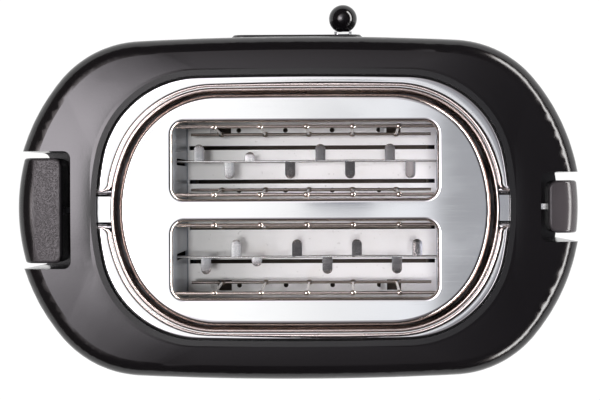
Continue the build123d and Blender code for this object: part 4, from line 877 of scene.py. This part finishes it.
@dataclass
class BunHoops:
    """Two crescent hoops pressed from sheet, each with a raised bead that curls out at its ends."""

    wardrobe: "Wardrobe"
    middle_y: float = 0.45
    end_reach: float = 9.0
    curl: float = 6.5
    curl_pull: float = 0.75
    curl_lead: float = 0.25
    curl_steps: int = 24
    inner_margin: float = 1.9
    outer_margin: float = -0.6
    foot_z: float = 185.5
    end_foot_z: float = 189.1
    rise_length: float = 6.0
    end_drop: float = 0.75
    drop_length: float = 1.5
    top_z: float = 189.45
    bead_radius: float = 1.05
    bead_lift: float = 0.2
    bead_turn: tuple = (1.05 * np.pi, 0.12 * np.pi)
    bead_steps: int = 13
    roll_radius: float = 0.7
    roll_steps: int = 6
    wall: float = 0.3
    wall_slope: float = 0.02
    foot_step: float = 0.15
    shelf: float = 0.35
    shelf_rise: float = 0.06
    least_shelf: float = 0.03
    least_width: float = 0.1
    least_rise: float = 0.1
    stations: int = 260

    def curled(self, start: np.ndarray, corner: np.ndarray, side: Side, end_y: float) -> np.ndarray:
        """Curl of the inner line out to the ring's edge: a Bezier of four points.

        Args:
            start: the inner line's end.
            corner: the outer line's end.
            side: which hoop.
            end_y: height of Y at which the hoop ends.

        Returns:
            Points from the corner to the start.
        """
        share = np.linspace(0.0, 1.0, self.curl_steps)[:, None]
        first = start + np.array([0.0, -side.value * self.curl * self.curl_pull])
        second = np.array([start[0] + self.curl_lead * (corner[0] - start[0]), end_y])
        return ((1 - share) ** 3 * corner + 3 * (1 - share) ** 2 * share * second
                + 3 * (1 - share) * share**2 * first + share**3 * start)

    def bead_path(self, side: Side) -> tuple:
        """The hoop's inner line and the outer line's point that faces each of its points.

        The inner line follows the groove's outline and curls out at each end. The outer points share the inner
        line's fraction of length between the two curls.

        Args:
            side: which hoop.

        Returns:
            The inner line and the points that face it, each points by 2.
        """
        end_y = self.middle_y + side.value * self.end_reach
        turning = end_y + side.value * self.curl
        inner = GROOVE.half(side, turning, self.inner_margin, self.stations)
        outer = RING.half(side, end_y, self.outer_margin, 4 * self.stations)
        before, after = (self.curled(inner[end], outer[end], side, end_y) for end in (0, -1))
        inner = np.concatenate([before[:-1], inner, after[::-1][1:]])
        beyond = side.value * outer[:, 1] >= side.value * turning
        first = np.argmax(beyond)
        last = len(outer) - 1 - np.argmax(beyond[::-1])
        where = np.concatenate([np.linspace(0, first, self.curl_steps - 1, endpoint=False),
                                np.linspace(first, last, self.stations),
                                np.linspace(last, len(outer) - 1, self.curl_steps)[1:]])
        steps = np.arange(len(outer))
        facing = np.stack([np.interp(where, steps, outer[:, axis]) for axis in (0, 1)], axis=-1)
        return inner, facing

    def section(self) -> tuple:
        """The sheet's raised bead, an arc, and its outer roll, a quarter circle.

        Returns:
            Distances and heights of the bead, from the inner line, and of the roll, from the outer line.
        """
        turn = np.linspace(*self.bead_turn, self.bead_steps)
        radius = self.bead_radius
        bead_z = self.top_z + self.bead_lift + radius * np.sin(turn)
        bead = np.stack([radius + radius * np.cos(turn), bead_z], axis=-1)
        angle = np.linspace(0.5 * np.pi, 0.0, self.roll_steps)
        edge, roll_z = self.roll_radius * np.cos(angle), self.roll_radius * np.sin(angle)
        return bead, np.stack([edge - self.roll_radius, self.top_z - self.roll_radius + roll_z], axis=-1)

    def distances(self, width: np.ndarray, bead: np.ndarray, roll: np.ndarray) -> np.ndarray:
        """Distances of the section's points from the inner line, at each station.

        Args:
            width: the sheet's width at each station.
            bead: the bead's distances.
            roll: the roll's distances from the outer line.

        Returns:
            Stations by points.
        """
        width = width[:, None]
        near = np.concatenate([[self.wall, self.wall_slope], bead])[None] * np.ones_like(width)
        shelf = np.minimum(2 * self.bead_radius + self.shelf, width - self.least_shelf)
        far = np.maximum(width + roll[None], shelf)
        return np.concatenate([near, shelf, (shelf + far[:, :1]) / 2, far, width, width - self.wall], axis=1)

    def heights(self, gap: np.ndarray, bead: np.ndarray, roll: np.ndarray) -> np.ndarray:
        """Heights of the section's points, at each station.

        The foot rises towards both ends by the eased share s² (3 - 2 s), to pass over the hinge lugs, and the
        bead sinks a little at its very ends.

        Args:
            gap: distance in Y of each station from the hoop's end.
            bead: the bead's heights.
            roll: the roll's heights.

        Returns:
            Stations by points.
        """
        eased = smooth(np.clip(1.0 - gap / self.rise_length, 0.0, 1.0))
        foot = (self.foot_z + (self.end_foot_z - self.foot_z) * eased)[:, None]
        top = np.concatenate([bead, [self.top_z, self.top_z + self.shelf_rise], roll])
        near_end = np.clip(1.0 - gap / self.drop_length, 0.0, 1.0)[:, None]
        raised = top > self.top_z + self.least_rise
        step = self.foot_step
        return np.concatenate([foot, foot + step, top - self.end_drop * near_end * raised, foot + step, foot],
                              axis=1)

    def build(self, side: Side) -> None:
        """One hoop: the section carried along the inner line and stretched to the points that face it.

        Args:
            side: which hoop.
        """
        inner, facing = self.bead_path(side)
        bead, roll = self.section()
        reach = facing - inner
        length = np.linalg.norm(reach, axis=1, keepdims=True)
        across = reach / np.maximum(length, 1e-6)
        across[0], across[-1] = across[1], across[-2]
        width = np.maximum(length[:, 0], 2 * self.bead_radius + self.least_width)
        distance = self.distances(width, bead[:, 0], roll[:, 0])
        gap = side.value * (inner[:, 1] - self.middle_y) - self.end_reach
        height = self.heights(gap, bead[:, 1], roll[:, 1])
        plan = inner[:, None] + across[:, None] * distance[..., None]
        surface = Surface()
        surface.add(np.concatenate([plan, height[..., None]], axis=-1))
        name = side.name.lower()
        hoop = surface.finish(f"{name}_bun_hoop", self.wardrobe.get("hoop_chrome"), 50.0)
        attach(hoop, f"{name}_hoop_body")


@dataclass
class RingLining:
    """Bright rounded lip along the ring's inner rim, with a narrow cove down towards the dark trough."""

    wardrobe: "Wardrobe"
    lip_margin: float = 0.3
    lip_z: float = 189.75
    lip_radius: float = 0.75
    lip_turn: tuple = (-0.15 * np.pi, 1.0 * np.pi)
    cove_margin: float = -1.8
    cove_z: float = 186.3
    cove_curve: float = 1.6
    cove_start: float = 0.12
    back_margins: tuple = (0.2, 0.35)
    back_drop: float = 0.3
    stations: int = 420
    dense: int = 8001

    def section(self) -> tuple:
        """The closed section: the lip's arc, the cove, down by share s and in by s^1.6, and the back.

        Returns:
            Margins from the groove's outline and heights.
        """
        arc = np.linspace(*self.lip_turn, 12)
        lip = np.stack([self.lip_margin + self.lip_radius * np.cos(arc),
                        self.lip_z + self.lip_radius * np.sin(arc)])
        share = np.linspace(self.cove_start, 1.0, 7)
        start = self.lip_margin - self.lip_radius
        cove = np.stack([start + (self.cove_margin - start) * share**self.cove_curve,
                         self.lip_z + (self.cove_z - self.lip_z) * share])
        low, high = self.back_margins
        back = np.array([[self.cove_margin + low, start + high], [self.cove_z - self.back_drop] * 2])
        return np.concatenate([lip, cove, back], axis=1)

    def build(self) -> None:
        """The lining: its section carried round the groove's outline at even steps."""
        turn = np.linspace(0.0, 1.0, self.stations, endpoint=False)
        dense = np.linspace(0.0, 2 * np.pi, self.dense)
        walked = walk(GROOVE.points(dense))
        angles = np.interp(turn * walked[-1], walked, dense)
        margin, height = self.section()
        plan = np.stack([GROOVE.points(angles, gap) for gap in margin], axis=1)
        height = np.broadcast_to(height[None, :, None], plan.shape[:2] + (1,))
        surface = Surface()
        surface.add(np.concatenate([plan, height], axis=-1), looped=True)
        lining = surface.finish("ring_lining", self.wardrobe.get("lining_chrome"), 50.0)
        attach(lining, "root")


@dataclass(frozen=True)
class Tongue:
    """One tongue: its place as a share of the slot's length, its roll in degrees and its reach."""

    share: float
    tilt: float
    reach: float = 9.5


@dataclass
class BreadStrips:
    """Two lifting strips with pressed tongues that bend and tilt a little, as stamped ones do."""

    wardrobe: "Wardrobe"
    middle_y: float = 1.1
    spacing: float = 52.5
    x_range: tuple = (-86.0, 72.0)
    z_range: tuple = (125.0, 135.0)
    thickness: float = 1.3
    width: float = 5.5
    sheet: float = 1.1
    droop: float = 0.5
    sink: float = 0.15
    outer: tuple = (Tongue(0.379, -3.5), Tongue(0.179, -1.0, 5.2), Tongue(-0.098, -6.0), Tongue(-0.371, -5.0))
    inner: tuple = (Tongue(0.26, -2.0), Tongue(0.021, -9.0), Tongue(-0.214, -8.0), Tongue(-0.451, -6.0))
    slot_length: float = 140.0
    shift: float = 1.8
    wobble: float = 0.15
    wobble_length: float = 19.0
    stations: int = 80
    straight_steps: int = 6
    tip_steps: int = 12
    tip_turn: float = 0.97 * np.pi / 2

    def strip(self, y: float) -> np.ndarray:
        """Upright strip: a rounded oblong section, |y/a|^6 + |z/b|^6 = 1, carried along X.

        Args:
            y: middle of the strip.

        Returns:
            Rings for Surface.add.
        """
        u, v = oblong(28, 6)
        low, high = self.z_range
        x = np.linspace(*self.x_range, self.stations)[:, None] * np.ones(len(u))
        across = y + self.thickness / 2 * u + self.wobble * np.sin(x / self.wobble_length)
        height = (low + high) / 2 + (high - low) / 2 * v
        return np.stack([x, across, height[None] + 0 * x], axis=-1)

    def tongue(self, x: float, y: float, way: int, shape: Tongue) -> np.ndarray:
        """One tongue as rings along its length.

        With s from 0 to 1 the half width is w · sqrt(1 - t²) over the rounded tip, t = 0 before it; the section
        is the rounded oblong |u|^12 + |v|^12 = 1, rolled by the tilt, and the tip sinks by droop · s².

        Args:
            x: middle of the tongue.
            y: middle of its strip.
            way: +1 towards +Y, -1 towards -Y.
            shape: its roll, positive with the +X edge down, and its reach from the strip's middle.

        Returns:
            Rings for Surface.add.
        """
        half = self.width / 2
        neck = shape.reach - half
        turn = np.linspace(0.0, self.tip_turn, self.tip_steps)
        straight = np.linspace(0.0, neck, self.straight_steps)[:-1]
        along = np.concatenate([straight, neck + half * np.sin(turn)])[:, None]
        wide = np.concatenate([np.full(len(straight), half), half * np.cos(turn)])[:, None]
        u, v = oblong(24, 12)
        u, v = wide * u, np.minimum(wide, self.sheet / 2) * v
        cos, sin = math.cos(math.radians(shape.tilt)), math.sin(math.radians(shape.tilt))
        middle = self.z_range[1] - self.sheet / 2 - self.sink - self.droop * (along / shape.reach) ** 2
        return np.stack([x + u * cos + v * sin, y + way * along + 0 * u, middle + v * cos - u * sin], axis=-1)

    def build(self, side: Side) -> None:
        """One strip with its eight tongues, in one mesh.

        Args:
            side: which strip.
        """
        y = self.middle_y + side.value * self.spacing / 2
        surface = Surface()
        surface.add(self.strip(y))
        for way, tongues in ((side.value, self.outer), (-side.value, self.inner)):
            for shape in tongues:
                x = shape.share * self.slot_length - side.value * self.shift
                surface.add(self.tongue(x, y, way, shape))
        name = side.name.lower()
        piece = surface.finish(f"{name}_tongued_strip", self.wardrobe.get("carriage_steel"), 50.0)
        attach(piece, "bread_carriage")
        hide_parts(f"{name}_bread_strip")


@dataclass
class LiftSprings:
    """Two open coil springs round the guide rods, closed at their ends; the lift shortens the real ones, but
    these are built at one length.
    """

    wardrobe: "Wardrobe"
    rod_x: float = -93.0
    middle_y: float = 1.1
    rod_spacing: float = 58.0
    z_range: tuple = (24.0, 125.0)
    coil_radius: float = 4.0
    wire: float = 0.9
    turns: float = 12.0
    closed_turns: float = 1.2
    closed_rate: float = 0.22
    steps_a_turn: int = 26
    latched_length: float = 27.0

    def build(self, side: Side) -> None:
        """One spring: x = r cos a, y = r sin a, with the height's rate eased to a wire's width at both ends.

        Args:
            side: which spring.
        """
        y = self.middle_y + side.value * self.rod_spacing / 2
        turn = np.linspace(0.0, self.turns, int(self.turns * self.steps_a_turn))
        inside = np.clip(np.minimum(turn, self.turns - turn) / self.closed_turns, 0.0, 1.0)
        rate = self.closed_rate + (1.0 - self.closed_rate) * smooth(inside)
        climb = np.concatenate([[0.0], np.cumsum((rate[1:] + rate[:-1]) / 2)])
        low, high = self.z_range[0] + self.wire, self.z_range[1] - self.wire
        angle = 2 * np.pi * turn
        path = np.stack([self.rod_x + self.coil_radius * np.cos(angle),
                         y + self.coil_radius * np.sin(angle),
                         low + (high - low) * climb / climb[-1]], axis=-1)
        surface = Surface()
        surface.add(tube(path, self.wire, 10))
        name = side.name.lower()
        spring = surface.finish(f"{name}_coil_spring", self.wardrobe.get("spring_steel"), 60.0)
        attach(spring, "root")
        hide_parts(f"{name}_lift_spring")
        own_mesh(spring)


@dataclass
class GuardWelds:
    """Weld beads where the guards' upright wires meet their long ones."""

    wardrobe: "Wardrobe"
    middle_y: float = 1.1
    spacing: float = 52.5
    first_x: float = -54.3
    pitch: float = 24.7
    count: int = 5
    top: tuple = (18.2, 179.0)
    low: tuple = (15.7, 88.0)
    bead: tuple = (2.0, 1.5, 1.35)
    pole_gap: float = 0.12

    def bead_at(self, x: float, y: float, z: float) -> np.ndarray:
        """A weld bead: the ellipsoid (a sin p cos q, b sin p sin q, c cos p) with its poles along Z.

        Args:
            x: its middle.
            y: its middle.
            z: its middle.

        Returns:
            Rings for Surface.add.
        """
        polar = np.linspace(self.pole_gap, np.pi - self.pole_gap, 9)[:, None]
        turn = np.linspace(0, 2 * np.pi, 14, endpoint=False)[None]
        a, b, c = self.bead
        parts = [a * np.sin(polar) * np.cos(turn) + x, b * np.sin(polar) * np.sin(turn) + y,
                 c * np.cos(polar) + 0 * turn + z]
        return np.stack(parts, axis=-1)

    def build(self, slot: Side, guard: Side) -> None:
        """The beads of one guard.

        Args:
            slot: which bread slot.
            guard: which of the slot's two guards.
        """
        y = self.middle_y + slot.value * self.spacing / 2
        surface = Surface()
        for offset, z in (self.top, self.low):
            for index in range(self.count):
                surface.add(self.bead_at(self.first_x + index * self.pitch, y + guard.value * offset, z))
        name = f"{slot.name.lower()}_slot_{guard.name.lower()}_guard"
        beads = surface.finish(f"{name}_welds", self.wardrobe.get("guard_wire"), 80.0)
        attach(beads, f"{name}_body")


@dataclass
class FloorTabs:
    """Bright tabs lanced up from the chamber floor beside the lance holes."""

    wardrobe: "Wardrobe"
    places_x: tuple = (-53.6, 45.2)
    rows_y: tuple = (-44.05, 46.25)
    floor_z: float = 46.0
    width: float = 5.0
    length: float = 3.6
    rise: float = 2.6
    sheet: float = 0.9
    hole_offset: float = 4.3
    taper: float = 0.18

    def tab(self, x: float, y: float) -> np.ndarray:
        """One tab: a rounded oblong section that runs along X and rises by rise · s² from the floor.

        Args:
            x: where it leaves the floor.
            y: its middle.

        Returns:
            Rings for Surface.add.
        """
        share = np.linspace(0.0, 1.0, 14)[:, None]
        u, v = (part[None] for part in oblong(20, 5))
        half = self.sheet / 2
        across = y + self.width / 2 * u * (1.0 - self.taper * share**4)
        height = self.floor_z + half + self.rise * share**2 + half * v
        return np.stack([x + self.length * share + 0 * u, across, height], axis=-1)

    def build(self) -> None:
        """All four tabs."""
        surface = Surface()
        for x in self.places_x:
            for y in self.rows_y:
                surface.add(self.tab(x + self.hole_offset, y))
        tabs = surface.finish("floor_tabs", self.wardrobe.get("chamber_steel"), 50.0)
        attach(tabs, "root")


@dataclass
class Studio:
    """Floor, sky and the camera of the reference view."""

    floor_half: float = 3.0
    camera_height: float = 1.592
    camera_x: float = -0.0281
    camera_y: float = -0.0019
    aim: tuple = (-0.0017, 0.00605, 0.192)
    roll: float = math.radians(-0.25)
    lens: float = 159.06
    clip: tuple = (0.05, 20.0)
    softbox_level: float = 4.5
    softbox_lean: tuple = (0.82, 1.04)
    softbox_reach: tuple = (0.12, 0.22)
    around_level: float = 0.5
    around_reach: tuple = (0.1, 0.24)
    contrast: float = 2.4
    front_share: float = 0.2
    least_level: float = 0.05
    far_level: float = 0.4
    near_level: float = 0.93
    side_step: tuple = (-0.037, -0.027)
    near_gain: float = 0.2
    near_step: tuple = (0.0, 0.05)
    low_level: float = 0.05
    low_contrast: float = 0.9
    low_height: tuple = (0.66, 0.9)
    edge_light_level: float = 16.0
    edge_light_rise: tuple = (0.16, 0.3)
    edge_light_fall: tuple = (0.36, 0.5)
    edge_light_side: tuple = (-0.5, -0.4)
    visor_x: tuple = ((-0.0102, -0.0086), (0.012, 0.0196))
    visor_y: tuple = ((-0.02, -0.018), (0.0078, 0.0094))
    visor_height: tuple = (0.0, 0.1)
    cool_side: tuple = (-0.08, 0.03)
    warm_height: tuple = (0.6, 0.9)
    cool: tuple = rgb(0.93, 0.95, 1.03)
    warm: tuple = rgb(1.05, 0.9, 0.84)
    sheen: tuple = rgb(1.0, 0.94, 1.0)
    visor: tuple = rgb(0.1, 0.11, 0.16)
    paper: tuple = rgb(0.85, 0.85, 0.85)
    glow_share: float = 0.94
    lamp_energy: float = 2.2
    lamp_angle: float = math.radians(2.5)
    lamp_height: float = 2.0

    def floor(self) -> None:
        """Pale floor, white to the camera and to glossy and transmitted rays, that keeps the shadow."""
        half = self.floor_half
        corners = [(-half, -half, 0), (half, -half, 0), (half, half, 0), (-half, half, 0)]
        mesh = bpy.data.meshes.new("floor")
        mesh.from_pydata(corners, [], [(0, 1, 2, 3)])
        floor = bpy.data.objects.new("floor", mesh)
        bpy.context.scene.collection.objects.link(floor)
        recipe = Recipe("floor_white")
        paper = recipe.add("ShaderNodeBsdfDiffuse", None, {"Color": self.paper})
        glow = recipe.add("ShaderNodeEmission", None, {"Color": WHITE, "Strength": 1.0})
        seen = recipe.add("ShaderNodeLightPath", None, None, "Is Camera Ray")
        rays = seen.socket.node.outputs
        for ray in ("Is Glossy Ray", "Is Transmission Ray"):
            seen = seen.maths("MAXIMUM", Signal(recipe, rays[ray]))
        shader = recipe.add("ShaderNodeMixShader", None, {0: seen * self.glow_share, 1: paper, 2: glow})
        recipe.output(shader)
        mesh.materials.append(recipe.material)

    def levels(self, x: Signal, z: Signal, lean: Signal, reach: Signal) -> Signal:
        """Brightness of the sky without its edge light.

        Args:
            x: the direction's X.
            z: the direction's Z.
            lean: how far the direction lies towards +X and a little towards -Y, from -1 to 1.
            reach: the direction's length on the floor's plane.

        Returns:
            The level.
        """
        around = (lean * self.contrast).maths("EXPONENT") * self.around_level + self.least_level
        softbox = lean.ramp(*self.softbox_lean) * reach.ramp(*self.softbox_reach) * self.softbox_level
        overhead = x.ramp(*self.side_step, self.far_level, self.near_level)
        overhead = overhead + x.ramp(*self.near_step, 0.0, self.near_gain)
        level = overhead + (around - overhead) * reach.ramp(*self.around_reach) + softbox
        low = (lean * self.low_contrast).maths("EXPONENT") * self.low_level
        return low + (level - low) * z.ramp(*self.low_height)

    def sky(self) -> None:
        """World of a soft room, by direction (x, y, z).

        Overhead it steps up from the -X side to the +X side. Around that its level is
        a · exp(c · (x - f · y) / sqrt(x² + y²)) + b, brightest at +X with a softbox there, and it falls off
        towards the horizon. One low strip stands at -X and a dark visor overhead. The camera itself sees plain
        white.
        """
        world = bpy.data.worlds.new("studio")
        bpy.context.scene.world = world
        sky = Recipe("studio", world)
        x, y, z = (sky.axis(letter) for letter in "XYZ")
        reach = ((x * x) + (y * y) + 1e-6).maths("SQRT")
        lean = (x - y * self.front_share) / reach
        strip = z.window(self.edge_light_rise, self.edge_light_fall)
        strip = strip * x.ramp(*self.edge_light_side, 1.0, 0.0)
        level = self.levels(x, z, lean, reach) + strip * self.edge_light_level
        visor = x.window(*self.visor_x) * y.window(*self.visor_y) * z.ramp(*self.visor_height)
        tone = sky.blend(x.ramp(*self.cool_side), self.cool, WHITE)
        tone = sky.blend(reach.ramp(*self.around_reach), tone, self.sheen)
        tone = sky.blend(z.ramp(*self.warm_height), self.warm, tone)
        tone = sky.blend(strip, tone, WHITE)
        tone = sky.blend(visor, tone, self.visor)
        camera = sky.add("ShaderNodeLightPath", None, None, "Is Camera Ray")
        tone = sky.blend(camera, tone, WHITE)
        strength = level + camera * (1.0 - level)
        shader = sky.add("ShaderNodeBackground", None, {"Color": tone, "Strength": strength})
        node = sky.tree.nodes.new("ShaderNodeOutputWorld")
        sky.tree.links.new(shader.socket, node.inputs["Surface"])

    def camera(self) -> None:
        """Camera straight above, a little off the object's middle, aimed at the picture's centre."""
        data = bpy.data.cameras.new("camera")
        data.lens = self.lens
        data.clip_start, data.clip_end = self.clip
        camera = bpy.data.objects.new("camera", data)
        place = Vector((self.camera_x, self.camera_y, self.camera_height))
        back = (place - Vector(self.aim)).normalized()
        up = Vector((0.0, -1.0, 0.0))
        right = up.cross(back).normalized()
        up = back.cross(right)
        turn = Matrix((right, up, back)).transposed() @ Matrix.Rotation(self.roll, 3, "Z")
        camera.matrix_world = Matrix.Translation(place) @ turn.to_4x4()
        bpy.context.scene.collection.objects.link(camera)
        bpy.context.scene.camera = camera

    def lamp(self) -> None:
        """Soft lamp straight above, which polished metal doesn't show."""
        data = bpy.data.lights.new("overhead", "SUN")
        data.energy = self.lamp_energy
        data.angle = self.lamp_angle
        lamp = bpy.data.objects.new("overhead", data)
        lamp.location = (0.0, 0.0, self.lamp_height)
        lamp.visible_glossy = False
        bpy.context.scene.collection.objects.link(lamp)

    def build(self) -> None:
        """Sets up the whole studio."""
        self.camera()
        self.floor()
        self.sky()
        self.lamp()
        bpy.context.scene.view_settings.view_transform = "Standard"


def main() -> None:
    """Builds every sub-assembly in order."""
    logging.basicConfig(level=logging.INFO, format="%(message)s")
    Studio().build()
    wardrobe = Wardrobe()
    wardrobe.dress_nodes()
    hoops = BunHoops(wardrobe)
    strips = BreadStrips(wardrobe)
    springs = LiftSprings(wardrobe)
    welds = GuardWelds(wardrobe)
    for side in Side:
        hoops.build(side)
        strips.build(side)
        springs.build(side)
        for guard in Side:
            welds.build(side, guard)
    RingLining(wardrobe).build()
    FloorTabs(wardrobe).build()


if __name__ == "__main__":
    main()
